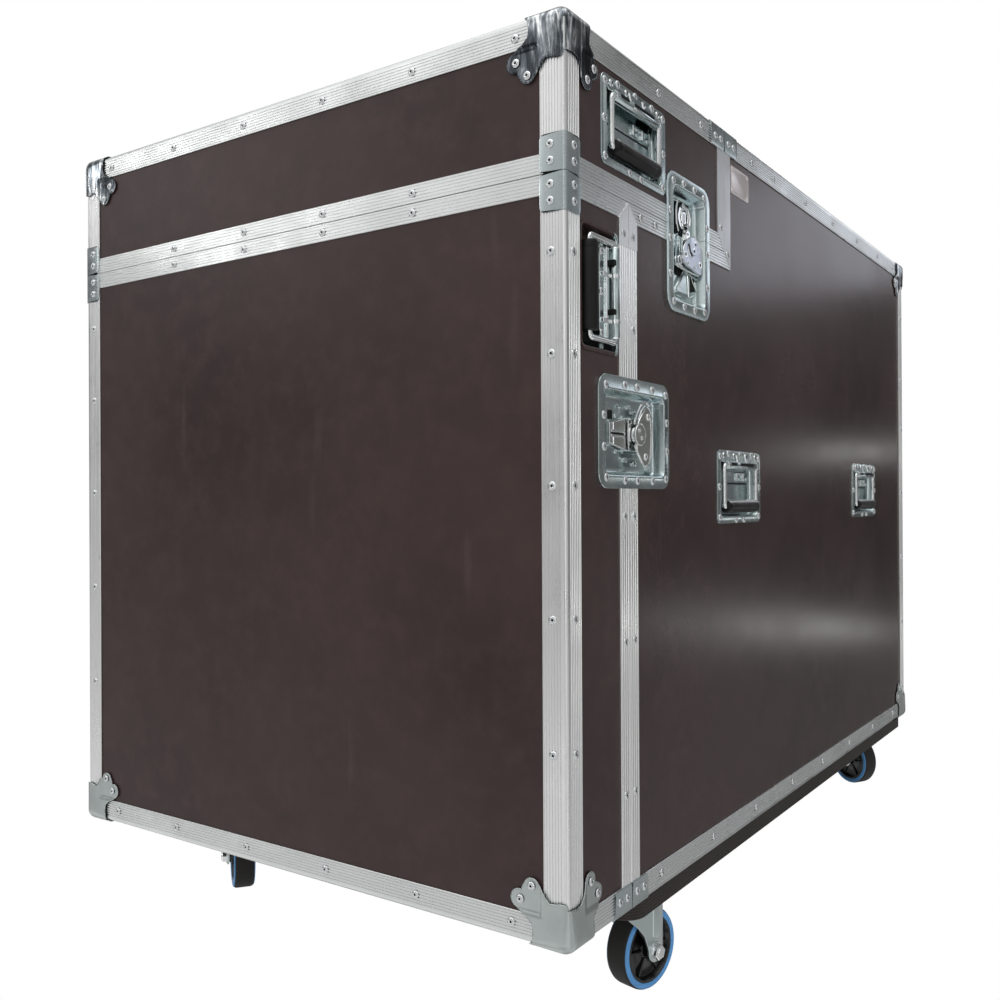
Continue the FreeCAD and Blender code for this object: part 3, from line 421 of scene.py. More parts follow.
# ---------------------------------------------------------------- shader helpers
class Graph:
    """Emptied node tree with short calls for the nodes used here; most return a socket."""

    def __init__(self, tree):
        self.tree = tree
        tree.nodes.clear()

    def feed(self, target, value):
        """Link a socket, or set a plain value."""
        if isinstance(value, bpy.types.NodeSocket):
            self.tree.links.new(value, target)
        else:
            target.default_value = (*value, 1) if target.type == "RGBA" else value

    def node(self, kind, inputs=(), **settings):
        node = self.tree.nodes.new("ShaderNode" + kind)
        for key, value in settings.items():
            setattr(node, key, value)
        for key, value in dict(inputs).items():
            self.feed(node.inputs[key], value)
        return node

    def calc(self, operation, *values):
        return self.node("Math", enumerate(values), operation=operation).outputs[0]

    def noise(self, scale, detail=4, roughness=0.55, distortion=0.0, source=None):
        return self.node("TexNoise", {
            "Scale": scale, "Detail": detail, "Roughness": roughness,
            "Distortion": distortion, "Vector": source or self.coords}).outputs[0]

    def ramp(self, value, *stops):
        """stops: (position, grey or colour)."""
        node = self.node("ValToRGB", {0: value})
        elements = node.color_ramp.elements
        while len(elements) < len(stops):
            elements.new(0.5)
        for i, (position, colour) in enumerate(stops):
            elements[i].position = position
            rgb = colour if isinstance(colour, tuple) else (colour,) * 3
            elements[i].color = (*rgb, 1)
        return node.outputs[0]

    def remap(self, value, source, target):
        """Map the source range onto the target range."""
        return self.node("MapRange", enumerate((value, *source, *target))).outputs[0]

    def mix(self, factor, first, second, mode="MIX"):
        """Colour mix; sockets 0, 6 and 7 are its factor and two colours."""
        return self.node("Mix", {0: factor, 6: first, 7: second},
                         data_type="RGBA", blend_type=mode).outputs[2]


class Surface(Graph):
    """Material with one Principled shader, textured in object coordinates."""

    def __init__(self, name):
        self.material = bpy.data.materials.new(name)
        self.material.use_nodes = True
        super().__init__(self.material.node_tree)
        output = self.node("OutputMaterial")
        self.shader = self.node("BsdfPrincipled")
        self.feed(output.inputs[0], self.shader.outputs[0])

    @cached_property
    def coords(self):
        return self.node("TexCoord").outputs["Object"]

    def scaled(self, scale, location=(0, 0, 0)):
        return self.node("Mapping", {"Scale": scale, "Location": location,
                                     "Vector": self.coords}).outputs[0]

    def set(self, values):
        for key, value in values.items():
            self.feed(self.shader.inputs[key], value)

    def bump(self, height, strength, distance):
        """Add a bump on top of those already there."""
        normal = self.shader.inputs["Normal"]
        node = self.node("Bump", {"Strength": strength, "Distance": distance, "Height": height})
        if normal.is_linked:
            self.feed(node.inputs["Normal"], normal.links[0].from_socket)
        self.feed(normal, node.outputs[0])


def shade(colour, factor, lift=0.0):
    return tuple(min(1, c * factor + lift) for c in colour)


# ---------------------------------------------------------------- materials
def film_plywood(name, roughness, specular):
    """Dark brown film with cloudy patches, specks and rare pale upright scuffs."""
    colour = (0.038, 0.0215, 0.0205)
    surf = Surface(name)
    patches = surf.noise(scale=3.2, detail=5, roughness=0.6)
    specks = surf.noise(scale=38, detail=4, roughness=0.6)
    grain = surf.noise(scale=3.0, detail=5, roughness=0.65, distortion=0.3,
                       source=surf.scaled((9, 1.4, 60)))
    base = surf.mix(surf.ramp(patches, (0.3, 0.0), (0.72, 1.0)),
                    shade(colour, 0.72), shade(colour, 1.32, 0.004))
    base = surf.mix(surf.ramp(specks, (0.45, 0.0), (0.75, 0.35)),
                    base, shade(colour, 1.9, 0.006))
    scuffs = surf.noise(scale=22, detail=2, roughness=0.5,
                        source=surf.scaled((1, 1, 0.12), location=(3, 1, 2)))
    base = surf.mix(surf.ramp(scuffs, (0.70, 0.0), (0.78, 0.16)), base, (0.16, 0.13, 0.125))
    surf.set({
        "Base Color": base,
        "Roughness": surf.remap(patches, (0.3, 0.75), (roughness - 0.03, roughness + 0.06)),
        "Specular IOR Level": specular,
        "Specular Tint": (1.0, 0.90, 0.90)})
    fine = surf.noise(scale=260, detail=3, roughness=0.6)
    surf.bump(fine, strength=0.10, distance=0.0006)
    surf.bump(grain, strength=0.006, distance=0.002)
    return surf.material


def metal(name, colour, roughness, axis=None, streak=0.12, relief=0.05, spots=0.0, tint=None):
    """Metal with marks drawn along an axis (0 to 2), or even ones where axis is None.

    streak is the contrast of the marks, relief their bump, spots the strength of dark spots
    and tint a second colour that comes in patches.
    """
    surf = Surface(name)
    patches = surf.noise(scale=14, detail=5, roughness=0.6)
    if axis is None:
        marks = surf.noise(scale=90, detail=4, roughness=0.6)
    else:
        stretch = [420, 420, 420]
        stretch[axis] = 5
        marks = surf.noise(scale=1.0, detail=3, roughness=0.6, source=surf.scaled(stretch))
    base = surf.mix(marks, shade(colour, 1 - streak), shade(colour, 1 + streak * 0.5))
    if tint:
        base = surf.mix(surf.ramp(patches, (0.35, 0.0), (0.7, 1.0)), base, tint)
    if spots:
        specks = surf.noise(scale=55, detail=6, roughness=0.7)
        base = surf.mix(surf.ramp(specks, (0.62, 0.0), (0.75, spots)), base, shade(colour, 0.45))
    broad = surf.remap(patches, (0.3, 0.7), (roughness - 0.06, roughness + 0.09))
    narrow = surf.remap(marks, (0.3, 0.7), (-0.04, 0.05))
    surf.set({"Metallic": 1.0, "Base Color": base, "Roughness": surf.calc("ADD", broad, narrow)})
    surf.bump(marks, strength=relief, distance=0.0004)
    return surf.material


def chrome(name):
    """Polished steel with painted reflections: its colour runs from near black to bright in
    streaks and patches; the streaks are also draw marks in its bump.
    """
    surf = Surface(name)
    marks = surf.noise(scale=1.0, detail=4, roughness=0.6, distortion=0.5,
                       source=surf.scaled((170, 170, 26)))
    patches = surf.noise(scale=24, detail=3, roughness=0.55)
    painted_reflection = surf.calc("ADD", surf.calc("MULTIPLY", marks, 0.55),
                      surf.calc("MULTIPLY", patches, 0.5))
    # painted reflections: dark and bright streaks and patches in the colour
    base = surf.ramp(painted_reflection, (0.42, (0.035, 0.040, 0.046)), (0.51, (0.12, 0.135, 0.15)),
                     (0.57, (0.30, 0.325, 0.345)), (0.63, (0.86, 0.88, 0.89)))
    surf.set({"Metallic": 1.0, "Base Color": base,
              "Roughness": surf.remap(patches, (0.3, 0.7), (0.10, 0.26))})
    surf.bump(marks, strength=0.15, distance=0.001)
    return surf.material


def rubber(name, colour, roughness, grain=320, relief=0.25):
    """Matt moulded surface; grain is the scale of its bumps and relief their strength."""
    surf = Surface(name)
    patches = surf.noise(scale=30, detail=4, roughness=0.6)
    fine = surf.noise(scale=grain, detail=3, roughness=0.6)
    surf.set({
        "Base Color": surf.mix(patches, shade(colour, 0.75), shade(colour, 1.3, 0.001)),
        "Specular IOR Level": 0.22 if roughness > 0.3 else 0.5,
        "Roughness": surf.remap(patches, (0.3, 0.7), (roughness - 0.08, roughness + 0.1))})
    surf.bump(fine, strength=relief, distance=0.0006)
    return surf.material


def plywood_edge(name):
    """Dark stained plywood with its veneer layers showing."""
    layer_pitch = 0.0034
    surf = Surface(name)
    height = surf.node("SeparateXYZ", {0: surf.coords}).outputs[2]
    wave = surf.calc("SINE", surf.calc("MULTIPLY", height, 2 * pi / layer_pitch))
    fibres = surf.noise(scale=1.0, detail=5, roughness=0.65, source=surf.scaled((60, 60, 700)))
    patches = surf.noise(scale=9, detail=5, roughness=0.6)
    layers = surf.calc("ADD", surf.remap(wave, (-1, 1), (0, 0.55)),
                       surf.calc("MULTIPLY", fibres, 0.6))
    base = surf.mix(layers, (0.006, 0.0055, 0.005), (0.060, 0.050, 0.045))
    base = surf.mix(surf.ramp(patches, (0.4, 0.0), (0.7, 0.5)), base, (0.02, 0.018, 0.017))
    surf.set({"Base Color": base, "Roughness": 0.55, "Specular IOR Level": 0.2})
    surf.bump(layers, strength=0.3, distance=0.001)
    return surf.material


def foam(name, colour):
    surf = Surface(name)
    cells = surf.node("TexVoronoi", {"Scale": 620, "Vector": surf.coords}).outputs["Distance"]
    patches = surf.noise(scale=12, detail=4, roughness=0.6)
    base = surf.mix(patches, shade(colour, 0.7), shade(colour, 1.35))
    base = surf.mix(surf.ramp(cells, (0.0, 0.45), (0.6, 0.0)), base, (0.004, 0.004, 0.0045))
    surf.set({"Base Color": base, "Roughness": 0.95, "Sheen Weight": 0.25})
    surf.bump(cells, strength=0.5, distance=0.001)
    return surf.material


FILM = film_plywood("film_ply", roughness=0.40, specular=0.32)
FILM_SIDE = film_plywood("film_ply_side", roughness=0.24, specular=0.22)
# the grooved bars along z get a lighter colour than those along x and y: painted highlight on the
# uprights
GROOVED = [metal(f"aluminium_{'xyz'[i]}", (0.88, 0.885, 0.88) if i == 2 else (0.74, 0.755, 0.75),
                 roughness=0.30, axis=i, streak=0.10, relief=0.06) for i in range(3)]
FLAT = [metal(f"aluminium_flat_{'xyz'[i]}", (0.70, 0.71, 0.715),
              roughness=0.38, axis=i, streak=0.10, relief=0.06) for i in range(3)]
ZINC = metal("zinc_steel", (0.50, 0.58, 0.60), roughness=0.20, relief=0.04,
             tint=(0.62, 0.70, 0.68))
BRACE_ZINC = metal("zinc_brace", (0.55, 0.59, 0.60), roughness=0.24, streak=0.16, relief=0.08,
                   spots=0.35, tint=(0.45, 0.52, 0.53))
metal("bright_steel", (0.72, 0.73, 0.745), roughness=0.16, streak=0.06, relief=0.10,
      tint=(0.60, 0.62, 0.64))
CHROME = chrome("chrome_painted_reflections")
MATT_ZINC = metal("matte_zinc", (0.46, 0.50, 0.49), roughness=0.36, streak=0.10, relief=0.06,
                  tint=(0.55, 0.60, 0.59))
RIVET_STEEL = metal("rivet_steel", (0.74, 0.76, 0.77), roughness=0.24, streak=0.06, relief=0.03)
WIRE = metal("wire_steel", (0.80, 0.82, 0.82), roughness=0.17, streak=0.05, relief=0.02)
# painted shade: near black for holes, bores and gaps
OPENING_SHADE_PAINT = rubber("painted_opening_shade", (0.012, 0.012, 0.012), roughness=0.7)
GRIP_RUBBER = rubber("black_rubber", (0.009, 0.0085, 0.0085), roughness=0.36, grain=420,
                     relief=0.2)
NYLON = rubber("black_nylon", (0.004, 0.004, 0.0042), roughness=0.22, grain=200, relief=0.06)
BLUE_RUBBER = rubber("blue_rubber", (0.14, 0.40, 0.86), roughness=0.42, grain=260, relief=0.12)
TREAD_RUBBER = rubber("tread_rubber", (0.030, 0.028, 0.027), roughness=0.6, grain=180,
                      relief=0.35)
PLINTH = plywood_edge("plinth_ply")
FOAM = foam("closed_cell_foam", (0.035, 0.036, 0.04))
RAIL = metal("rail_black", (0.05, 0.05, 0.052), roughness=0.42, axis=2, streak=0.2)
LABEL = metal("label_blank", (0.86, 0.79, 0.77), roughness=0.38, axis=1, streak=0.06)
FORK_ZINC = metal("fork_zinc", (0.62, 0.67, 0.66), roughness=0.34, streak=0.08, relief=0.04,
                  tint=(0.55, 0.62, 0.62))
# painted shade: near black for recesses, slots and the ground under wires
SHADE_PAINT = rubber("painted_shade_black", (0.007, 0.008, 0.0085), roughness=0.7)
WING_PLATE = metal("wing_plate", (0.56, 0.58, 0.55), roughness=0.28, streak=0.10, relief=0.05)
LATCH_PLATE = metal("latch_plate", (0.58, 0.62, 0.70), roughness=0.30, streak=0.08, relief=0.04)


def dress(node, material):
    NODES[node].data.materials.clear()
    NODES[node].data.materials.append(material)


for panel in ("side_panels", "lid_panels", "cover_panels", "back_panel", "floor_panel",
              "top_panel", "deck_board", "rack_bulkheads"):
    dress(panel, FILM_SIDE if panel == "side_panels" else FILM)
    bevel = NODES[panel].modifiers.new("b", "BEVEL")
    bevel.width = 0.0005
    bevel.segments = 1
    bevel.limit_method = "ANGLE"
dress("plinth_board", PLINTH)
dress("rack_rails", RAIL)

# ---------------------------------------------------------------- overall sizes, mm
GAP = 0.25                                  # half the gap along a seam
LEG = 30.0                                  # leg of an edge bar
BAR_END = LEG - 6.0                         # edge bars stop this far from the case's vertices
STRIP = 21.5                                # width of a strip beside a seam
FLAT_STRIP = 22.0                           # the same, for strips without grooves
edge_low, edge_high = box_mm("body_edge_angles")
cover_low, cover_high = box_mm("cover_extrusions")
HALF_WIDTH, BOTTOM, TOP = edge_high[0], edge_low[2], edge_high[2]
FRONT = cover_low[1]
REAR = box_mm("body_corner_plates")[1][1] - 1.5
PANEL_X = box_mm("side_panels")[1][0]       # outer face of the right side panel
BAR = HALF_WIDTH - PANEL_X                  # thickness of bars and strips
COVER_SEAM = cover_high[1] + GAP            # y of the upright seam behind the cover
LID_SEAM = box_mm("lid_panels")[1][1] + GAP     # y of the seam behind the lid
SEAM_Z = cover_high[2] + GAP                # height of the level seam below the lid
MIDDLE = (0, (FRONT + REAR) / 2, (BOTTOM + TOP) / 2)

SIDE_FRAMES = {side: axes(Y, Z, (side, 0, 0), (side * PANEL_X, 0, 0)) for side, _ in SIDES}


# ---------------------------------------------------------------- aluminium bars and strips
def angle_profile():
    """Edge bar section: outer corner at (0, 0), legs along +u and +v, grooves outside."""
    centres = [8.0, 11.4, 14.8, 18.2, 21.6, 25.0, 28.0]
    radius, width, depth = 4.0, 1.7, 0.9
    profile = arc(radius, radius, radius, 180, 270, 5)
    for c in centres:
        profile += [(c - width / 2, 0.0), (c - width / 5, depth),
                    (c + width / 5, depth), (c + width / 2, 0.0)]
    profile += [(LEG - 0.5, 0.0), (LEG, 0.5), (LEG, BAR - 0.3), (LEG - 0.3, BAR), (BAR, BAR),
                (BAR, LEG - 0.3), (BAR - 0.3, LEG), (0.5, LEG), (0.0, LEG - 0.5)]
    for c in reversed(centres):
        profile += [(0.0, c + width / 2), (depth, c + width / 5),
                    (depth, c - width / 5), (0.0, c - width / 2)]
    return profile


def strip_profile(start, end, grooves=5, lip=0.6, depth=0.85):
    """Flat bar from u = start to end, with grooves in its outer face at v = BAR."""
    profile = [(start, 0.0), (end, 0.0), (end, BAR - lip), (end - lip, BAR)]
    if grooves:
        for c in reversed(np.linspace(start + 3.2, end - 3.2, grooves)):
            profile += [(c + 0.85, BAR), (c + 0.35, BAR - depth),
                        (c - 0.35, BAR - depth), (c - 0.85, BAR)]
    return profile + [(start + lip, BAR), (start, BAR - lip)]


def mitre(slope, shift=0.0):
    return lambda u, v: slope * u + shift


def seam_edges(side):
    """Edges met by a seam: body, a point on the edge, inward direction beside x, direction of
    the edge, place of the seam, far end of the edge, length of the brace at the seam."""
    front = (side * HALF_WIDTH, FRONT, 0)
    bottom = (side * HALF_WIDTH, 0, BOTTOM)
    top = (side * HALF_WIDTH, 0, TOP)
    return (
        (COVER, front, Y, Z, SEAM_Z, BOTTOM, 40),
        (LID, front, Y, Z, SEAM_Z, TOP, 40),
        (COVER, bottom, Z, Y, COVER_SEAM, FRONT, 40),
        (BODY, bottom, Z, Y, COVER_SEAM, REAR, 40),
        (LID, top, MINUS_Z, Y, LID_SEAM, FRONT, 44),
        (BODY, top, MINUS_Z, Y, LID_SEAM, REAR, 44))


bars = per_body()       # material slots: grooved along x, y, z, then flat along x, y, z
ANGLE = angle_profile()
for side, _ in SIDES:
    inward = (-side, 0, 0)
    bars[BODY].prism(ANGLE, axes(inward, MINUS_Y, Z, (side * HALF_WIDTH, REAR, 0)),
                     BOTTOM + BAR_END, TOP - BAR_END, slot=2)
    for body, corner, second, along, seam, far, _ in seam_edges(side):
        way = 1 if far > seam else -1
        start, end = sorted((seam + way * GAP, far - way * BAR_END))
        bars[body].prism(ANGLE, axes(inward, second, along, corner), start, end,
                         slot=along.index(1))
for body, y, z, inward_y, inward_z in (
        (COVER, FRONT, BOTTOM, Y, Z), (LID, FRONT, TOP, Y, MINUS_Z),
        (BODY, REAR, BOTTOM, MINUS_Y, Z), (BODY, REAR, TOP, MINUS_Y, MINUS_Z)):
    bars[body].prism(ANGLE, axes(inward_y, inward_z, X, (0, y, z)),
                     BAR_END - HALF_WIDTH, HALF_WIDTH - BAR_END)


def large_box(node, test):
    """Box of the first large solid on the right side whose low corner passes the test."""
    return next((low, high) for _, _, low, high in islands(node)
                if max((high - low)[1:]) > 60 and low[0] > 0 and test(low))


# Latch dishes interrupt the strips: each as (y0, y1, z0, z1) of the whole dish.
low, high = large_box("body_latch_dishes", lambda low: low[2] < 700)
SIDE_DISH = (large_box("cover_dishes", lambda low: low[2] < 700)[0][1], high[1], low[2], high[2])
low, high = large_box("body_latch_dishes", lambda low: low[2] > 700)
LID_DISH = (low[1], high[1], low[2], large_box("lid_dishes", lambda low: low[1] > -480)[1][2])

RISING, FALLING = mitre(1), mitre(-1)
for side, _ in SIDES:
    out = (side, 0, 0)
    level = axes(Z, out, Y, (side * PANEL_X, 0, SEAM_Z))
    upright = axes(Y, out, Z, (side * PANEL_X, COVER_SEAM, 0))
    lid_upright = axes(Y, out, Z, (side * PANEL_X, LID_SEAM, 0))
    lower, upper = strip_profile(-STRIP, -GAP), strip_profile(GAP, STRIP)
    before, behind = strip_profile(-STRIP, -GAP, 4), strip_profile(GAP, STRIP, 4)
    lid_flat = strip_profile(-FLAT_STRIP, -GAP, 0, 0.25)
    body_flat = strip_profile(GAP, FLAT_STRIP, 0, 0.25)
    # body, profile, frame, start, end, mitre at start, mitre at end, material slot
    for body, *strip in (
            (COVER, lower, level, FRONT + LEG, COVER_SEAM, None, RISING, 1),
            (BODY, lower, level, COVER_SEAM, LID_DISH[0], FALLING, None, 1),
            (BODY, lower, level, LID_DISH[1], LID_SEAM, None, FALLING, 1),
            (LID, upper, level, FRONT + LEG, LID_DISH[0], None, None, 1),
            (LID, upper, level, LID_DISH[1], LID_SEAM, None, mitre(-1, -0.4), 1),
            (COVER, before, upright, BOTTOM + LEG, SIDE_DISH[2], None, None, 2),
            (COVER, before, upright, SIDE_DISH[3], SEAM_Z, None, RISING, 2),
            (BODY, behind, upright, BOTTOM + LEG, SIDE_DISH[2], None, None, 2),
            (BODY, behind, upright, SIDE_DISH[3], SEAM_Z, None, FALLING, 2),
            (LID, lid_flat, lid_upright, SEAM_Z, TOP - LEG, mitre(-1, 0.4), None, 5),
            (BODY, body_flat, lid_upright, SEAM_Z, TOP - LEG, mitre(-1, 0.4), None, 5)):
        bars[body].prism(*strip)

# The pointed end of the upright strips stands a little proud of the level strip.
PROUD = 0.35
before = [(-STRIP, 1.0), (-GAP, 1.0), (-GAP, BAR + PROUD), (-STRIP + 0.5, BAR + PROUD),
          (-STRIP, BAR)]
behind = [(GAP, 1.0), (STRIP, 1.0), (STRIP, BAR), (STRIP - 0.5, BAR + PROUD), (GAP, BAR + PROUD)]
for side, _ in SIDES:
    upright = axes(Y, (side, 0, 0), Z, (side * (PANEL_X + PROUD), COVER_SEAM, 0))
    for body, profile, slant in ((COVER, before, RISING), (BODY, behind, FALLING)):
        bars[body].prism(profile, upright, SEAM_Z - STRIP - 30, SEAM_Z - 0.6,
                         end_shift=slant, slot=2)

# Strips across the front, the top and the bottom.
front_place = axes(Z, MINUS_Y, X, (0, FRONT + BAR, SEAM_Z))
top_place = axes(Y, Z, X, (0, LID_SEAM, TOP - BAR))
bottom_place = axes(MINUS_Y, MINUS_Z, X, (0, COVER_SEAM, BOTTOM + BAR))
for body, profile, place, slot in (
        (COVER, strip_profile(-STRIP, -GAP), front_place, 0),
        (LID, strip_profile(GAP, STRIP), front_place, 0),
        (LID, strip_profile(-FLAT_STRIP, FLAT_STRIP, 0), top_place, 3),
        (COVER, strip_profile(GAP, STRIP), bottom_place, 0),
        (BODY, strip_profile(-STRIP, -GAP), bottom_place, 0)):
    bars[body].prism(profile, place, LEG - HALF_WIDTH, HALF_WIDTH - LEG, slot=slot)

# Solids of the seam extrusions that reach no outer face keep their CAD form.
EXTRUSIONS = {BODY: "body_seam_extrusions", LID: "lid_extrusions", COVER: "cover_extrusions"}
for body, node in EXTRUSIONS.items():
    inner = Shape()
    for points, faces, low, high in islands(node):
        at_side = high[0] > HALF_WIDTH - 0.3 or low[0] < -HALF_WIDTH + 0.3
        at_bottom = low[2] < BOTTOM + 0.3
        if at_side or low[1] < FRONT + 0.3 or high[2] > TOP - 0.3:
            continue
        if at_bottom and high[2] < BOTTOM + 3:
            continue
        if at_bottom:
            points[:, 2] = np.maximum(points[:, 2], BOTTOM + BAR)
        inner.add(points, faces)
    if inner.count:
        build(node + "_inner", inner, [FLAT[1]], body, angle=30, recalc=False)
for body, prefix in PREFIX.items():
    edges = ("body_edge_angles",) if body == BODY else ()
    build(prefix + "_aluminium", bars[body], GROOVED + FLAT, body,
          (*edges, EXTRUSIONS[body]), angle=25)

# ---------------------------------------------------------------- rivets
for body, prefix in PREFIX.items():
    heads = Shape()
    for _, _, low, high in islands(prefix + "_rivets"):
        centre = (low + high) / 2
        axis = int(np.argmin(high - low))
        sign = 1 if centre[axis] > MIDDLE[axis] else -1
        centre[axis] = low[axis] if sign > 0 else high[axis]
        out, across = np.zeros(3), np.zeros(3)
        out[axis] = sign
        across[(axis + 1) % 3] = 1
        place = axes(across, np.cross(out, across), out, centre)
        heads.rivet(turned(place, random.uniform(0, 90)))
    build(prefix + "_rivets_heads", heads, [RIVET_STEEL, OPENING_SHADE_PAINT], body,
          (prefix + "_rivets",), angle=50, recalc=False)

# ---------------------------------------------------------------- stamped corners and braces
# One face of a corner plate: distances (u, v) from the case's vertex.
CORNER_OUTLINE = [
    (0, 0), (47, 0), (49, 3), (49, 9), (47.5, 15), (47, 21.5), (51.5, 26), (58, 31),
    *arc(58, 44, 10.2, -62, 62, 9), (59.5, 55.0), (56.5, 56.5),
    *arc(44, 60, 10.2, -20, 150, 11),
    (31, 58), (27, 49), (21.5, 43.0), (14, 41.5), (7, 42.5), (0, 43.0)]


def swelling(distance):
    """How far a corner swells (0 to 1) and its edge radius, at a distance from the vertex."""
    amount = ease(1 - (distance - 8) / 40)
    return amount, 5.0 + 4.5 * amount


def stamped_corner():
    """Points and faces of a corner plate, as distances inward from the case's vertex."""
    mesh = bmesh.new()
    for axis in range(3):
        verts = []
        for u, v in CORNER_OUTLINE:
            p = [0, 0, 0]
            p[(axis + 1) % 3], p[(axis + 2) % 3] = u, v
            verts.append(mesh.verts.new(p))
        mesh.faces.new(verts)
    # slice into a 2 mm grid, so that the flat faces can be shaped
    for k in range(1, 36):
        for axis in range(3):
            point, normal = [0, 0, 0], [0, 0, 0]
            point[axis], normal[axis] = k * 2.0, 1
            bmesh.ops.bisect_plane(mesh, geom=mesh.verts[:] + mesh.edges[:] + mesh.faces[:],
                                   dist=1e-4, plane_co=point, plane_no=normal)
    bmesh.ops.remove_doubles(mesh, verts=mesh.verts, dist=0.02)
    bmesh.ops.triangulate(mesh, faces=[face for face in mesh.faces if len(face.verts) > 4])
    for vert in mesh.verts:
        p = np.array(vert.co)
        amount, radius = swelling(np.linalg.norm(p))
        core = np.maximum(p, radius)
        outward = p - core
        length = np.linalg.norm(outward)
        # the lobes step down to the panel
        step = ease((sorted(p)[1] - 29.5) / 4.5)
        if length > 1e-9:
            vert.co = core + outward / length * (radius + 1.5 + 1.9 * amount - 2.0 * step)
    mesh.verts.index_update()
    points = np.array([vert.co for vert in mesh.verts])
    faces = [[vert.index for vert in face.verts] for face in mesh.faces]
    mesh.free()
    return points, faces


def brace_profile(thick=1.1, radius=4.2, width=30.0):
    """Thin angle section with a rounded corner; it stands outside (0, 0) by its thickness."""
    inner = radius - thick
    return [
        *arc(inner, inner, radius, 180, 270, 5),
        (width - 5, -thick), (width - 1.5, -thick), (width, 0.4 - thick), (width, 0.0),
        (width - 1.5, 0.0), (width - 5, 0.0), (inner + 0.01, 0.0),
        *arc(inner, inner, inner, 270, 180, 5)[1:5],
        (0.0, inner + 0.01), (0.0, width - 5), (0.0, width - 1.5), (0.0, width),
        (0.4 - thick, width), (-thick, width - 1.5), (-thick, width - 5)]


def brace_round(u, v):
    """Shortening of a brace near the free edges of its legs, which rounds their corners."""
    past = max(u, v) - 25.0
    return 0.0 if past <= 0 else (1.6 if past < 4 else 5.0)


corners, braces, folds = per_body(), per_body(), Shape()
corner_points, corner_faces = stamped_corner()
for sx in (1, -1):
    for sy in (1, -1):
        for sz in (1, -1):
            vertex = (sx * HALF_WIDTH, REAR if sy > 0 else FRONT, TOP if sz > 0 else BOTTOM)
            body = BODY if sy > 0 else (LID if sz > 0 else COVER)
            # upper corners take the bright chrome with painted reflections (slot 0), lower ones
            # the darker matt zinc (slot 1)
            corners[body].add(corner_points, corner_faces,
                              axes((-sx, 0, 0), (0, -sy, 0), (0, 0, -sz), vertex), int(sz < 0))
for side, _ in SIDES:
    for body, corner, second, along, seam, far, length in seam_edges(side):
        way = 1 if far > seam else -1
        start, end = sorted((seam + way * 0.4, seam + way * length))
        braces[body].prism(brace_profile(), axes((-side, 0, 0), second, along, corner),
                           start, end, brace_round, lambda u, v: -brace_round(u, v))
    # raised fold down the front edge of each upper front corner
    path = []
    for z in np.linspace(11, 41, 9):
        amount, radius = swelling(z)
        inset = radius * 0.293 - (2.6 + 1.9 * amount) * 0.707
        path.append((inset, inset, z))
    folds.tube(path, 1.1, 8, axes((-side, 0, 0), Y, MINUS_Z, (side * HALF_WIDTH, FRONT, TOP)))
build("lid_corner_folds", folds, [WIRE], LID, angle=50)
for body, prefix in PREFIX.items():
    build(prefix + "_corners", corners[body], [CHROME, MATT_ZINC], body,
          (prefix + "_corner_plates",), angle=60, shell=1.3, recalc=False)
    build(prefix + "_braces", braces[body], [BRACE_ZINC], body)

# ---------------------------------------------------------------- pressed dishes
HINGE_LINE = axes(Y, Z, X)      # third axis along the hinge of a handle


def dish(outer, outer_radius, recess, recess_radius, depth, flange=1.5):
    """Dish with a beaded rim; outer and recess are (a0, a1, b0, b1), flange the rim's height."""
    def rings(box, radius, rows):
        """rows: (outward growth, height)."""
        a0, a1, b0, b1 = box
        return [(round_rect(a0 - e, a1 + e, b0 - e, b1 + e, radius + e, 7), h) for e, h in rows]

    shape = Shape()
    rim = [(0, 0.05), (0, flange - 0.5), (-0.5, flange), (-2.2, flange)]
    bowl = [(4.4, flange), (3.2, flange + 0.55), (1.8, flange + 0.6), (0.6, flange + 0.1),
            (0.0, flange - 1.0), (-1.2, -depth * 0.6), (-1.9, -depth + 3.0),
            (-2.9, -depth + 0.9), (-4.6, -depth), (-9.0, -depth)]
    back = [(-6.0, -depth - 1.2), (-0.6, -depth - 1.2), (0.9, -depth + 1.5), (1.1, 0.05)]
    shape.loft(rings(outer, outer_radius, rim) + rings(recess, recess_radius, bowl),
               cap_start=False)
    shape.loft(rings(recess, recess_radius, back) + rings(outer, outer_radius, [(0, 0.05)]),
               cap_end=False)
    return shape


def barrel(shape, b, h, half):
    """Rolled hinge barrel along a, open at both ends, with a ring of bright steel at each end that
    paints the highlight on its rolled edge.
    """
    place = axes(Y, Z, X, (0, b, h))
    shape.lathe([(3.75, -half), (5.3, -half), (5.9, 0.8 - half), (5.9, half - 0.8),
                 (5.3, half), (3.75, half)], 28, place, closed=True)
    # painted highlight on each rolled end
    for k in (-1, 1):
        shape.rim(5.5, k * (half - 0.5), 0.75, 22, 7, place, BRIGHT)
    # lap of the rolled sheet
    lap = [(b - 5.4, h - 2.0), (b - 5.0, h - 3.4), (b - 2.0, h - 5.6), (b - 2.4, h - 4.6)]
    shape.prism(lap, HINGE_LINE, 1 - half, half - 1)


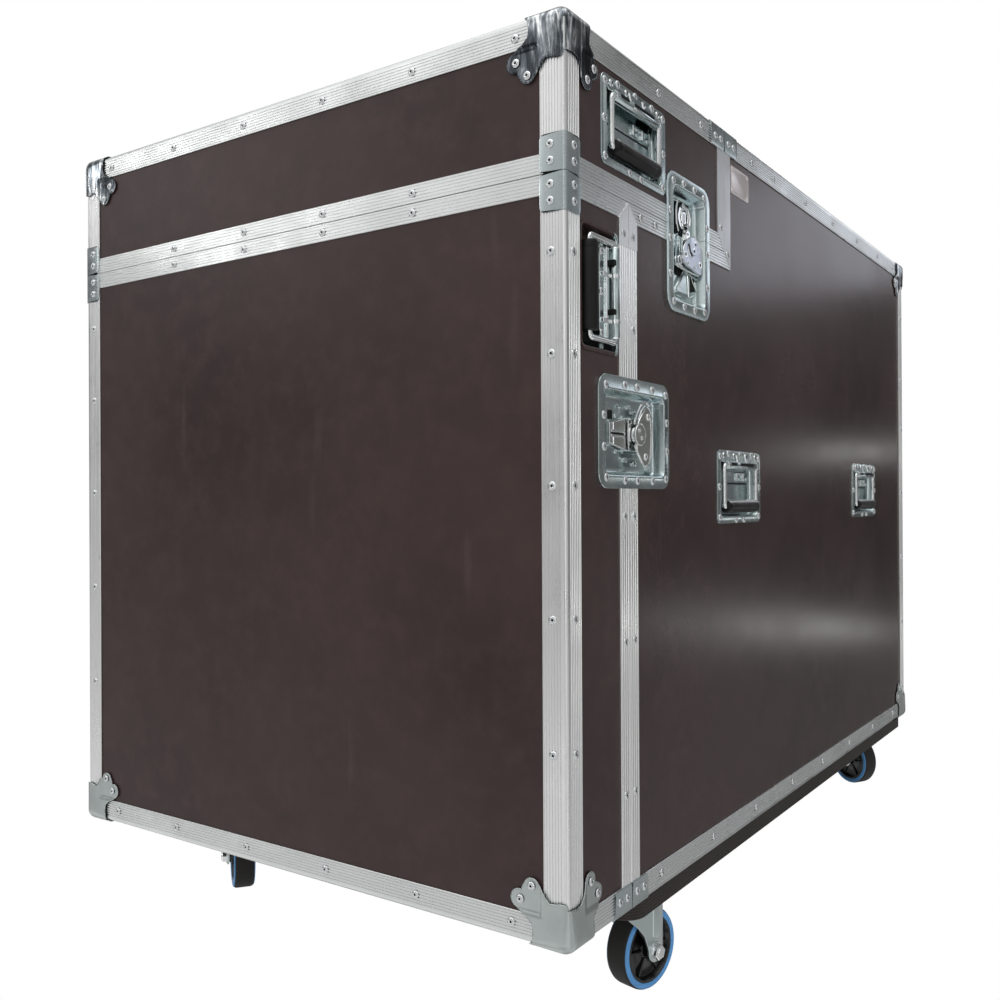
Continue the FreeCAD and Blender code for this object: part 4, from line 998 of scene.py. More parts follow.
def handle_dish(hinge_b, hinge_h):
    """Dish of a level handle: floor pressings, hinge cover and rolled barrel."""
    shape = dish((-79.25, 79.25, -49.5, 49.5), 10, (-66.25, 66.25, -39.5, 39.5), 7, 12.0)
    # the dark strip between the two floor panels is painted shade in the pressed line
    shape.pads(
        (-57, 60, 6.6, 22, 2, -12.0, -10.6, 0.7),
        (-57, 60, -37, 4.0, 2, -12.0, -11.0, 0.6),
        (-57, 60, 4.3, 6.3, 0.4, -12.0, -11.8, 0.05, PAINTED_SHADE),
        (13.2, 16.8, 8.5, 21, 1.4, -10.8, -7.6, 0.9, BRIGHT),
        (36.2, 39.8, 8.5, 21, 1.4, -10.8, -7.6, 0.9, BRIGHT),
        (17, 36, 17, 21, 1.4, -10.8, -8.6, 0.7, BRIGHT))
    shape.rivet(spot(26.5, 12.0, -10.7), radius=3.8, height=2.4)
    shape.rivet(spot(53, 12, -10.7), radius=4.0, height=2.4)
    # hinge cover across the top of the recess, with its embossings
    edge = hinge_b + 4.2
    shape.plate([(-66, 41), (-66, 37), (-62, edge), (62, edge), (66, 37), (66, 41)],
                -1.4, 1.75, bevel=0.6)
    shape.pad(-15, 15, 27.5, 44, 3, 1.5, 3.0, 0.7)
    loop = [(-16, 44, 2.2), (-16, 31, 5.2), (-11, 26.5, 7.4), (11, 26.5, 7.4), (16, 31, 5.2),
            (16, 44, 2.2)]
    shape.tube(bend(loop, 4), 1.35, 8, slot=BRIGHT)
    # four bright bosses whose centres are painted hole shade
    for a in (-57, -21, 21, 57):
        shape.lathe([(4.4, 1.4), (3.9, 2.6), (2.0, 3.1), (0, 3.1)], 14, spot(a, 42.3), BRIGHT)
        shape.lathe([(1.4, 3.0), (1.4, 3.2), (0, 3.2)], 10, spot(a, 42.3), HOLE_AND_GAP_SHADE)
    barrel(shape, hinge_b, hinge_h, 53.2)
    # the two windows under the hinge cover are painted shade
    shaded_window = (hinge_b - 0.6, hinge_b + 3.4, 1.4, hinge_h + 2, hinge_h + 6.05, 0.2, PAINTED_SHADE)
    shape.pads(
        (-45, -25, *shaded_window), (-12, 37, *shaded_window),
        # painted shade: dark pockets around the wire's elbows
        (-65.5, -50.5, 23.5, 38.8, 2, -3.4, -2.2, 0.3, PAINTED_SHADE),
        (50.5, 65.5, 26.5, 38.8, 2, -3.4, -2.2, 0.3, PAINTED_SHADE))
    return shape


def cover_handle_dish(hinge_b, hinge_h):
    """Dish of the upright handle on the cover; a runs up and b to the rear."""
    shape = dish((-68, 68, -40.5, 40.5), 7, (-63.0, 63.0, -38.5, 36.5), 5, 17.0)
    points = shape.points()
    for i, face in enumerate(shape.faces):      # the half under the grip is painted with shade and the grip's dark reflection: dark film on rim and ends, near black inside
        a, b, h = points[face].mean(0)
        if b < 2 or (abs(a) > 62 and b < 24):
            shape.slots[i] = SHADED_RIM if h > 0 or a > 56 or a < -60 else PAINTED_SHADE
    # the dark pads are painted shade: on the floor under the grip, in the slot under the plate and
    # in two blocks beside the barrel
    shape.pads(
        (-56, 56, -36, 3, 3, -17.0, -15.5, 1.0, PAINTED_SHADE),
        (-50, 50, 9.5, 29, 1, -17.0, -3.4),
        (-50, 50, 4.2, 20, 1.5, -3.6, -1.9, 0.5),
        (-50, 50, 16.0, 21.5, 1.5, -2.2, 0.6, 0.9, BRIGHT),
        (-50, 50, 21.6, 24.6, 0.6, -2.4, -1.4, 0.1),
        (-22, 34, 21.8, 24.4, 0.8, -1.4, -1.1, 0.1, PAINTED_SHADE),
        (-24, -18, 21.0, 30.0, 1.0, -1.2, 6.6, 0.5, PAINTED_SHADE),
        (30, 36, 21.0, 30.0, 1.0, -1.2, 6.6, 0.5, PAINTED_SHADE))
    barrel(shape, hinge_b, hinge_h, 49.8)
    for a in (-31, 18.8):                       # clips across plate and barrel, in bright steel that also paints the highlights across them
        shape.pad(a - 2.6, a + 2.6, 6.5, 26, 1.0, -2.0, 1.4, 0.7, BRIGHT)
        band = [(5.6, a - 2.8), (6.5, a - 2.3), (6.7, a), (6.5, a + 2.3), (5.6, a + 2.8)]
        shape.lathe(band, 28, axes(Y, Z, X, (0, hinge_b, hinge_h)), BRIGHT)
    return shape


# ---------------------------------------------------------------- handles
def bail(half, pin, hinge, grip):
    """Wire bail with its ends turned inward to +-pin; hinge and grip are (b, h)."""
    shape = Shape()
    path = [(-pin, *hinge), (-half, *hinge), (-half, *grip), (half, *grip), (half, *hinge),
            (pin, *hinge)]
    shape.tube(bend(path, 5.0, 7), 3.6, 16)
    return shape


def grip_highlight_strip(shape, half, b, h):
    """Painted highlight: a curved strip of bright steel along the top of the grip."""
    def row(radius):
        return [(b + 0.4 + y, h + x) for x, y in arc(0, 0, radius, 34, 84, 5)]
    shape.prism(row(9.7) + row(8.4)[::-1], HINGE_LINE, 6.5 - half, half - 6.5)


def grip_shape(half, b, h, radius):
    """Moulded grip along a: rounded ends, a shallow groove near each and mould lines."""
    shape = Shape()
    # share of the radius, place along a
    rows = [(0.55, -half), (0.86, 0.9 - half), (0.97, 3.0 - half), (0.985, -half * 0.82),
            (0.965, -half * 0.8), (0.965, -half * 0.775), (1, -half * 0.75), (1, -half * 0.3)]
    profile = [(3.7, 0.6 - half)] + [(radius * share, a) for share, a in rows]
    profile += [(radius * 1.005, 0)] + [(r, -a) for r, a in reversed(profile)]
    shape.lathe(profile, 28, axes(Y, Z, X, (0, b, h)))
    low, high = h + radius * 0.97, h + radius * 1.012
    for k in (-0.6, 0.6):
        line = [(b + k - 0.6, low), (b + k + 0.6, low), (b + k + 0.3, high), (b + k - 0.3, high)]
        shape.prism(line, HINGE_LINE, -half * 0.9, half * 0.9)
    return shape


# Distance from a dish's centre to the hinge line, for level handles and the cover's handle.
LEVEL_HINGE, COVER_HINGE = 29.5, 30.5
dishes = per_body()
for side, side_name in SIDES:
    for base, body in (("handle_front", BODY), ("handle_rear", BODY), ("lid_handle", LID),
                       ("cover_handle", COVER)):
        name = f"{base}_{side_name}"
        x, y, z = np.array(JOINTS[name + "_hinge"]["pos_m"]) * 1000.0
        grip_low, grip_high = box_mm(name + "_grip")
        grip_x, grip_y, grip_z = (grip_low + grip_high) / 2
        half_size = (grip_high - grip_low) / 2
        hinge_h, grip_h = abs(x) - PANEL_X, abs(grip_x) - PANEL_X
        if body != COVER:
            centre_z = z - LEVEL_HINGE
            grip_b = grip_z - centre_z
            place = shifted(SIDE_FRAMES[side], y, centre_z)
            dished = handle_dish(LEVEL_HINGE, hinge_h)
            wire = bail(57.5, 46.5, (LEVEL_HINGE, hinge_h), (grip_b, grip_h))
            grip_highlight_strip(wire, 57.5, grip_b, grip_h)
            grip = grip_shape(half_size[1], grip_b + 0.4, grip_h, 8.9)
        else:
            centre_y = y - COVER_HINGE
            grip_b = grip_y - centre_y
            place = axes(Z, Y, (side, 0, 0), (side * PANEL_X, centre_y, z))
            dished = cover_handle_dish(COVER_HINGE, hinge_h)
            wire = bail(54, 43, (COVER_HINGE, hinge_h), (grip_b, grip_h))
            grip = grip_shape(half_size[2], grip_b, grip_h, 10.5)
        dishes[body].merge(dished, place)
        placed_wire, placed_grip = Shape(), Shape()
        placed_wire.merge(wire, place)
        placed_grip.merge(grip, place)
        build(name + "_wire", placed_wire, [WIRE], name, (name + "_bail",),
              angle=50)
        build(name + "_rubber", placed_grip, [GRIP_RUBBER], name,
              (name + "_grip",))

# ---------------------------------------------------------------- latch dishes
LATCH_DEPTH = 12.8
FLOOR = -LATCH_DEPTH


def latch_dish(box, margins, outer_radius, recess_radius):
    """margins: width of the flange at y0, y1, z0 and z1."""
    recess = [edge + inset for edge, inset in zip(box, margins)]
    return dish(box, outer_radius, recess, recess_radius, LATCH_DEPTH, flange=3.2)


side_dish = latch_dish(SIDE_DISH, (16, -14.5, 15, -17), 18, 7)
lid_dish = latch_dish(LID_DISH, (18, -16, 16, -17), 21, 9)
halves = (
    (COVER, cut(side_dish, (COVER_SEAM - GAP, 0, 0), X)),
    (BODY, cut(side_dish, (COVER_SEAM + GAP, 0, 0), MINUS_X)),
    (LID, cut(lid_dish, (0, SEAM_Z + GAP, 0), MINUS_Y)),
    (BODY, cut(lid_dish, (0, SEAM_Z - GAP, 0), Y)))
for side, _ in SIDES:
    for body, half in halves:
        dishes[body].merge(half, SIDE_FRAMES[side])


# ---------------------------------------------------------------- side latch
# Latch shapes are drawn from the hub at the origin, a to the rear and b up.
def side_latch_fixed():
    """Fixed parts on the body and on the cover; the seam is at a = -28."""
    base, keep = Shape(), Shape()
    base.pads(
        (-19.5, 26, -22, 22, 3, FLOOR, -11.3),
        # bridge over the hook
        (-15, 4, -19.2, -14.0, 1.2, FLOOR, -7.3, 0.3, BRIGHT),
        (-15, 4, 14.0, 19.2, 1.2, FLOOR, -7.3, 0.3, BRIGHT))
    bridge = [(-15, -19.2), (4, -19.2), (4, -10.0), *arc(0, 0, 10.8, -68, -292, 18),
              (4, 10.0), (4, 19.2), (-15, 19.2)]
    base.plate(bridge, -7.4, -5.4, bevel=0.5, slot=BRIGHT)
    # dark dots: painted shade in the holes of the bridge
    for a, b in ((-11.5, 14.5), (-1.5, 14.8), (-11.5, -14.5), (-1.5, -14.8)):
        base.disc(a, b, 2.1, -5.25, HOLE_AND_GAP_SHADE)
    base.pad(40, 54, -42, 38, 2, FLOOR, -10.6, 0.8)
    for a, b in ((46, 21), (46, -22), (46, -38), (-4, 31.5), (9, 26), (10, -33), (-12, -29)):
        base.lathe([(3.4, FLOOR), (3.0, -10.2), (1.6, -9.6), (0, -9.6)], 14, spot(a, b), BRIGHT)
    base.tube([(-24, 30, -12.4), (10, 30, -12.4)], 0.8, 6, slot=BRIGHT)
    base.tube([(-24, -27, -12.4), (26, -27, -12.4)], 0.8, 6, slot=BRIGHT)

    keep.pad(-51, -46, -15, 15, 1.4, FLOOR, -11.3, 0.2)
    keep.rivet(spot(-35, -20, -12.7), radius=3.4, height=2.0)
    # painted shade beside the keep
    keep.pad(-51, -41, 16, 26, 1, FLOOR, -12.2, 0.15, PAINTED_SHADE)
    keep.rivet(spot(-35, 20, -12.7), radius=3.4, height=2.0)
    keep.lathe([(3.6, FLOOR), (3.1, -11.4), (1.6, -11.0), (0, -11.0)], 14, spot(-31, 31))
    keep.pad(-80, -60, -36, 36, 3, FLOOR, -12.0, 0.5)
    return base, keep


def side_latch_hook():
    shape = Shape()
    tongue = [(-58, -11.6), (-17, -18.2), (-17, 18.2), (-58, 11.6)]
    shape.loft([(tongue, -10.8), (tongue, -9.0), (grown(tongue, -0.5), -8.6)])
    rim = [(-57.4, -11.0), (-17.8, -17.3), (-17.8, 17.3), (-57.4, 11.0)]
    shape.tube(lifted(rim, -8.5), 1.0, 8, closed=True)
    for k in (1, -1):
        panel = [(-45, 4.6 * k), (-20, 4.6 * k), (-20, 15.8 * k), (-45, 12.0 * k)]
        shape.plate(panel[::k], -8.7, -8.3, bevel=0.15, slot=GREY)
        shape.pad(-54, -20, *sorted((1.3 * k, 3.9 * k)), 1.2, -8.6, -6.4, 0.8)
        shape.tube([(-45.6, 4.6 * k, -8.3), (-45.6, 12.2 * k, -8.3)], 0.5, 6)
    # painted shade in the slit down the middle
    shape.pad(-52, -20, -1.1, 1.1, 0.8, -8.6, -8.3, 0.1, HOLE_AND_GAP_SHADE)
    shape.pad(-58, -54.5, -11.4, 11.4, 1.0, -8.6, -6.4, 0.5)
    shape.ring_plate(round_rect(-18, 26, -12.6, 12.6, 3),
                     round_rect(-5.7, 17.7, -5.7, 5.7, 5.6), -10.8, -8.6)
    return shape


def hub_and_wing(shape, waist, outline, inset, wire, wire_height):
    """Hub drum and the plate it carries, with a bright rim; waist is the drum's groove."""
    shape.lathe([(4.8, -12.7), (4.8, -7.8), (9.2, -7.8), (10.0, -7.2), *waist, (10.0, -1.4),
                 (0, -1.4)], 40)
    wing = corners_cut(outline)
    shape.loft([(wing, -1.5), (wing, 0.1), (grown(wing, -0.5), 0.5)], slot=GREY)
    shape.tube(lifted(grown(wing, -inset), wire_height), wire, 7, closed=True)


def side_latch_wings():
    """Hub drum, swept wing plate, wire loops beside it and a disc with two rivets."""
    shape = Shape()
    outline = [(-6, -12), (-5, -20), (4, -30), (13, -36.5), (22, -35), (29.5, -27), (34, -8),
               (34.5, 10), (33, 23), (27, 31), (20, 34), (11, 28), (2, 19), (-4, 12)]
    hub_and_wing(shape, [(10.0, -4.6), (9.4, -4.2), (10.0, -3.8)], outline, 0.6, 0.8, 0.25)
    shape.tube([(26, -28, 0.4), (29.5, -12, 0.4), (30, 8, 0.4), (28, 20, 0.4)], 0.6, 6)
    # wire radius, sides, path
    for wire, sides, path in (
            (1.6, 9, [(-5, 12, -3.5), (-4, 22, -1.0), (4, 34, 0.2), (14, 39, 0.8),
                      (24, 35, 0.6)]),
            (1.1, 8, [(1, 17, -1.5), (5, 27, 0.2), (12, 33.5, 0.8), (20, 36, 0.8)]),
            (1.5, 9, [(-6, -12, -2.0), (-3, -22, 0.0), (6, -32, 0.6), (13, -37.5, 0.6)])):
        shape.tube(bend(path, 6), wire, sides)
    shape.rivet(spot(22.5, 21.5, 0.4), radius=4.4, height=2.0)
    shape.rivet(spot(15.5, -25.0, 0.4), radius=4.4, height=2.0)
    shape.lathe([(12.6, 0.3), (12.6, 1.8), (12.0, 2.4), (0, 2.4)], 36, slot=GREY)
    shape.rim(12.2, 2.0, 0.7, 40, 7)
    for a, b in ((-3.5, 4.5), (3.0, -4.0)):
        shape.rivet(spot(a, b, 2.3), radius=2.6, height=1.2)
    return shape


# ---------------------------------------------------------------- lid latch
def lid_latch_fixed():
    """Fixed parts on the body and on the lid; the seam is at b = 13."""
    base, keep = Shape(), Shape()
    base.pad(-22, 22, -24, 12, 3, FLOOR, -11.3)
    cone = [(-32, -63), (29, -61), (29, -50), (8, -28), (-4, -28), (-32, -56)]
    base.loft([(cone, FLOOR), (grown(cone, -0.6), -10.5), (grown(cone, -3.0), -8.6)])
    for path in (
            [(-3, -28, -8.4), (-14, -42, -8.8), (-30, -57, -9.5)],
            [(7, -28, -8.4), (17, -40, -8.6), (28, -51, -9.0)],
            [(-31, -58, -9.6), (-14, -63, -9.0), (6, -64, -9.0), (28, -56, -9.4)],
            [(1, -30, -8.2), (3, -46, -8.0), (5, -62, -8.4)]):
        base.tube(bend(path, 12), 1.0, 7, slot=BRIGHT)
    # outline, low, high, slot
    # the dark plates are painted shade beside the cone and under the rod
    for outline, low, high, slot in (
            ([(10, -56), (26, -52), (26, -48), (10, -33)], -8.8, -8.3, PAINTED_SHADE),
            ([(-24, -53), (-3, -56), (-3, -33)], -8.8, -8.3, PLAIN),
            ([(-26, -37), (29, -42), (29, -31), (-26, -26)], FLOOR, -11.0, PAINTED_SHADE)):
        base.plate(outline, low, high, bevel=0.1, slot=slot)
    base.tube([(-41, -28, -6), (-10, -30.5, -6), (28, -31, -6)], 2.3, 12, slot=BRIGHT)
    base.tube([(-12, -34.0, -6.4), (28, -36.5, -7)], 1.2, 8)
    # coiled wire at the end of the rod
    coil = [(-37 + 6.4 * math.cos(t), -25 + 6.4 * math.sin(t), -6.0 + 0.6 * t)
            for t in np.linspace(0, 3.6 * pi, 44)]
    base.tube(coil, 1.15, 7, slot=BRIGHT)
    # painted shade inside the coil
    base.disc(-37, -25, 4.6, -7.4, PAINTED_SHADE)
    base.tube([(-33, -31, -4), (-22, -24, -5), (-15, -22, -8)], 1.6, 8, slot=BRIGHT)
    base.pad(-58, -44, -70, 12, 2, FLOOR, -11.8, 0.6)

    # the dark pads are painted shade under the keep's wire and beside it
    keep.pad(-30, -16, 15, 53, 1.5, FLOOR, -9.4, 0.3, PAINTED_SHADE)
    keep.tube(bend([(-27, 54, -8.2), (-31, 42, -8.0), (-30, 26, -8.0), (-24, 16, -8.4)], 6),
              1.3, 8, slot=BRIGHT)
    keep.pads(
        (-12, 12, 47, 56, 1.5, FLOOR, -10.6, 0.3, PAINTED_SHADE),
        (-23, 7, 34, 39, 1.2, FLOOR, -11.4, 0.2, BRIGHT),
        (14, 26, 16, 58, 2, FLOOR, -11.6, 0.5))
    keep.lathe([(4.2, FLOOR), (3.6, -11.0), (1.8, -10.4), (0, -10.4)], 16, spot(14, 52))
    return base, keep


def lid_latch_hook():
    shape = Shape()
    shape.ring_plate(circle(15.6, 36, -8, 36), circle(10.4, 36, -8, 36), -10.8, -8.8)
    shape.ring_plate(round_rect(-11, 11, -18, 26, 3),
                     round_rect(-5.7, 5.7, -13.6, 5.7, 5.6), -10.8, -8.8)
    loop = [(-15, 51, -6.4), (-21, 37, -5.8), (-18, 21, -5.6), (-9, 17.5, -6.0), (5, 27, -6.4),
            (8, 38, -6.8), (3, 48, -7.0), (-15, 51, -6.4)]
    shape.tube(bend(loop, 4)[:-1], 1.35, 8, closed=True)
    shape.tube(bend([(-12, 45, -7), (-3, 46.5, -7), (2, 40, -7), (0, 30, -7)], 3), 1.0, 7)
    # the dark slot and the dark dot below are painted shade
    shape.pads(
        (-14, -4, 28, 43, 2, -8.9, -7.4, 0.5),
        (-10.5, -8, 29, 41, 1, -7.5, -7.2, 0.05, HOLE_AND_GAP_SHADE),
        (-6, 5, 7, 21, 2.5, -8.8, -5.6, 0.9))
    shape.disc(-1.5, 16, 1.7, -5.4, HOLE_AND_GAP_SHADE)
    return shape


def lid_latch_wings():
    """Hub drum, wing plate with eyelets and rivets, and a disc."""
    shape = Shape()
    outline = [(-31, -18), (-27, -26), (20, -34), (26, -31), (27.5, -26), (27.5, 0), (20, 9),
               (8, 11.5), (-8, 11.5), (-28, -4)]
    hub_and_wing(shape, [], outline, 0.5, 0.7, 0.2)
    shape.lathe([(12.0, 0.3), (12.0, 1.9), (11.4, 2.4), (0, 2.4)], 36, slot=GREY)
    highlight = arc(0, 0, 11.6, math.degrees(-0.4), math.degrees(2.4), 21)
    shape.tube(lifted(highlight, 2.1), 0.7, 7)
    # painted shade: a dark crescent between the disc and the plate, edged with wire
    crescent = arc(0, 0, 15.4, 178, 262, 12) + arc(0, 0, 12.3, 262, 178, 12)
    shape.plate(crescent, 0.4, 0.75, bevel=0.05, slot=HOLE_AND_GAP_SHADE)
    shape.tube(lifted(arc(0, 0, 15.6, 190, 262, 9), 0.7), 0.5, 6)
    # dark dots, each with a small bright dome set off its centre: painted shade with a painted
    # highlight
    for a, b in ((4, 3), (0, -6)):
        shape.disc(a, b, 2.2, 2.55, HOLE_AND_GAP_SHADE)
        shape.lathe([(1.6, 2.4), (1.3, 3.0), (0, 3.1)], 10, spot(a - 1.6, b + 1.8))
    for a, b, radius in ((21.5, -20, 3.5), (-22, -14, 3.4)):    # eyelets, their holes painted with shade
        shape.disc(a, b, radius * 0.8, 0.65, HOLE_AND_GAP_SHADE)
        shape.rim(radius, 0.55, 0.7, 18, 6, spot(a, b))
    shape.rivet(spot(-16, -23.5, 0.5), radius=2.6, height=1.2)
    shape.rivet(spot(4, -25.5, 0.5), radius=2.6, height=1.2)
    return shape


# name, body that holds the keep, fixed parts, hook, wings, plate material
LATCHES = (
    ("side_latch", COVER, side_latch_fixed(), side_latch_hook(), side_latch_wings(), WING_PLATE),
    ("lid_latch", LID, lid_latch_fixed(), lid_latch_hook(), lid_latch_wings(), LATCH_PLATE))
for side, side_name in SIDES:
    for latch, keeper, (base, keep), hook, wings, plate_material in LATCHES:
        name = f"{latch}_{side_name}"
        _, y, z = np.array(JOINTS[name + "_twist"]["pos_m"]) * 1000.0
        place = axes(Y, Z, (side, 0, 0), (side * PANEL_X, y, z))
        dishes[BODY].merge(base, place)
        dishes[keeper].merge(keep, place)
        placed_hook, placed_wings = Shape(), Shape()
        placed_hook.merge(hook, place)
        placed_wings.merge(wings, place)
        build(name + "_hook_plate", placed_hook, [WIRE, OPENING_SHADE_PAINT, WING_PLATE], name + "_hook",
              (name + "_hook",))
        build(name + "_wings", placed_wings, [WIRE, OPENING_SHADE_PAINT, plate_material], name + "_butterfly",
              (name + "_butterfly",))

for body, prefix in PREFIX.items():
    replaced = (("body_handle_dishes", "body_latch_dishes") if body == BODY
                else (prefix + "_dishes",))
    build(prefix + "_pressed_dishes", dishes[body], [ZINC, OPENING_SHADE_PAINT, SHADE_PAINT, WIRE, FILM_SIDE], body,
          replaced, angle=38)

# ---------------------------------------------------------------- label plate
low, high = box_mm("label_plate")
label = Shape()
outline = round_rect(low[1], high[1], low[2], high[2], 3.5)
label.loft([(outline, 0.0), (outline, 0.5), (grown(outline, -0.4), 0.75),
            (grown(outline, -3.0), 0.75), (grown(outline, -3.4), 0.55)], SIDE_FRAMES[1])
for y in (low[1] + 5, high[1] - 5):
    for z in (low[2] + 5, high[2] - 5):
        label.rivet(shifted(SIDE_FRAMES[1], y, z, 0.6), radius=2.6, height=1.1)
build("label_plate_blank", label, [LABEL, OPENING_SHADE_PAINT], BODY, ("label_plate",),
      angle=40, recalc=False)


# ---------------------------------------------------------------- foam pads
def foam_pad(name, node, body, axis, sign):
    """Pad with soft edges and a grid of shallow channels; it faces along sign * axis."""
    cell, edge_radius, channel_pitch = 9, 9.0, 92.0
    low, high = box_mm(node)
    size = high - low
    first, second = [k for k in range(3) if k != axis]
    rows, columns = int(size[first] / cell), int(size[second] / cell)
    points, faces = [], []
    for layer in (0, 1):
        for i in range(rows + 1):
            for j in range(columns + 1):
                u = low[first] + size[first] * i / rows
                v = low[second] + size[second] * j / columns
                height = 0.0
                if layer:
                    edge = min(u - low[first], high[first] - u, v - low[second],
                               high[second] - v)
                    past = max(0, edge_radius - edge)
                    drop = edge_radius - math.sqrt(max(0, edge_radius ** 2 - past ** 2))
                    # distances from the nearest channels, in channel pitches
                    near_u = abs(((u - low[first]) / channel_pitch) % 1 - 0.5)
                    near_v = abs(((v - low[second]) / channel_pitch) % 1 - 0.5)
                    channel = 2.6 * (max(0, 1 - near_u / 0.05) + max(0, 1 - near_v / 0.05))
                    puff = 1.4 * (math.sin(near_u * pi) * math.sin(near_v * pi))
                    sway = 0.5 * math.sin(u * 0.031 + v * 0.017)
                    height = size[axis] - drop - min(channel, 3.2) - 1.6 + puff + sway
                p = [0, 0, 0]
                p[first], p[second] = u, v
                p[axis] = low[axis] + height if sign > 0 else high[axis] - height
                points.append(p)

    def at(layer, i, j):
        return (layer * (rows + 1) + i) * (columns + 1) + j

    for i in range(rows):
        for j in range(columns):
            faces.append((at(1, i, j), at(1, i + 1, j), at(1, i + 1, j + 1), at(1, i, j + 1)))
            faces.append((at(0, i, j), at(0, i, j + 1), at(0, i + 1, j + 1), at(0, i + 1, j)))
    for i in range(rows):
        for j, start, end in ((0, i, i + 1), (columns, i + 1, i)):
            faces.append((at(0, start, j), at(0, end, j), at(1, end, j), at(1, start, j)))
    for j in range(columns):
        for i, start, end in ((0, j + 1, j), (rows, j, j + 1)):
            faces.append((at(0, i, start), at(0, i, end), at(1, i, end), at(1, i, start)))
    pad = Shape()
    pad.add(points, faces)
    build(name, pad, [FOAM], body, (node,), angle=60)


foam_pad("lid_foam_pad", "lid_foam", LID, axis=2, sign=-1)
foam_pad("cover_foam_pad", "cover_foam", COVER, axis=1, sign=1)


# ---------------------------------------------------------------- castors
def castor_top_plate(x, y, top):
    """Plate under the plinth, with a turned boss and four bolts."""
    shape = Shape()
    place = axes(X, Y, Z, (x, y, 0))
    outline = round_rect(-47, 47, -37, 37, 8)
    shape.loft([(grown(outline, -0.4), top - 4.0), (outline, top - 3.6), (outline, top)], place)
    shape.lathe([(8, top - 9.0), (22, top - 9.0), (26, top - 6.0), (24, top - 3.9)], 40, place)
    bolt = [(0, -4.6), (5.8, -4.6), (6.6, -3.6), (6.6, -1.4), (8.6, -1.2), (8.6, 0.0)]
    for bolt_x in (-38, 38):
        for bolt_y in (-28, 28):
            shape.lathe(bolt, 20, shifted(place, bolt_x, bolt_y, top - 4))
    return shape


def castor_fork(x, y, crown, trail, across, reach, axle):
    """Crown, two tapered cheeks and the axle bolt.

    crown is the height of the crown, trail the direction from swivel to axle and reach the
    distance between them, across the direction of the axle and axle the wheel's frame.
    """
    shape = Shape()
    axle_height = axle[2, 3]
    swivel = axes(X, Y, Z, (x, y, 0))
    ring = [(8.2, -6.5), (20, -6.5), (29, -6.0), (31.5, -3.5), (31.5, -1.5), (29, 0.2),
            (25, 1.0), (8.2, 1.0)]
    nut = [(8.6, -12.5), (11.5, -12.5), (12.4, -11.5), (12.4, -7.5), (11.5, -6.4), (8.2, -6.4)]
    for profile, sides in ((ring, 44), (nut, 20)):
        shape.lathe([(r, crown + h) for r, h in profile], sides, swivel, closed=True)
    # cheek: wide under the crown, with a narrow round end at the axle
    cheek = [(-27, crown - 1.5), (-24, crown - 10), (-14, crown - 20), (2, crown - 33),
             (14, crown - 46), (22, axle_height + 5),
             *arc(reach, axle_height, 13.5, 172, 368, 13),
             (reach + 14.5, crown - 26), (reach + 14.0, crown - 10), (reach + 12, crown - 1.5)]
    for k in (-1, 1):
        place = axes(k * trail, Z, k * across, (x, y, 0))
        outline = [(k * a, b) for a, b in cheek][::k]
        shape.loft([(grown(outline, -0.3), 21.0), (outline, 21.3), (outline, 23.6),
                    (grown(outline, -0.5), 24.0)], place)
        middle = k * (reach + 1)
        rib = round_rect(middle - 7.5, middle + 7.5, axle_height + 16, crown - 8, 5)
        shape.loft([(rib, 23.9), (grown(rib, -1.2), 25.0), (grown(rib, -3.0), 25.2)], place)
        # bridge from the crown to the cheek, in a frame whose third axis points down
        bridge = round_rect(*sorted((-20 * k, k * (reach + 6))), 15.0, 24.0, 3)
        shape.loft([(bridge, 1.2 - crown), (bridge, 6.0 - crown)],
                   axes(k * trail, k * across, MINUS_Z, (x, y, 0)))
    # axle bolt with washers, hexagonal head and nut, and a spacer on each side of the hub
    bolt_slot = 1
    shape.lathe([(0, -31.0), (5.2, -31.0), (6.0, -30.3), (6.0, 31.6), (5.2, 32.6), (0, 32.6)],
                20, axle, bolt_slot)
    shape.lathe([(11, 24.0), (11, 25.4), (6, 25.4)], 24, axle, bolt_slot)
    shape.lathe([(6, -25.4), (11, -25.4), (11, -24.0)], 24, axle, bolt_slot)
    hexagon = arc(0, 0, 9.6, 10, 310, 5)
    small = grown(hexagon, -1.0)
    shape.loft([(hexagon, 25.4), (hexagon, 30.6), (small, 31.6)], axle, bolt_slot)
    shape.loft([(small, -30.6), (hexagon, -29.8), (hexagon, -25.4)], axle, bolt_slot)
    shape.lathe([(8, 19.5), (8, 21.2), (6, 21.2)], 20, axle)
    shape.lathe([(6, -21.2), (8, -21.2), (8, -19.5)], 20, axle)
    return shape


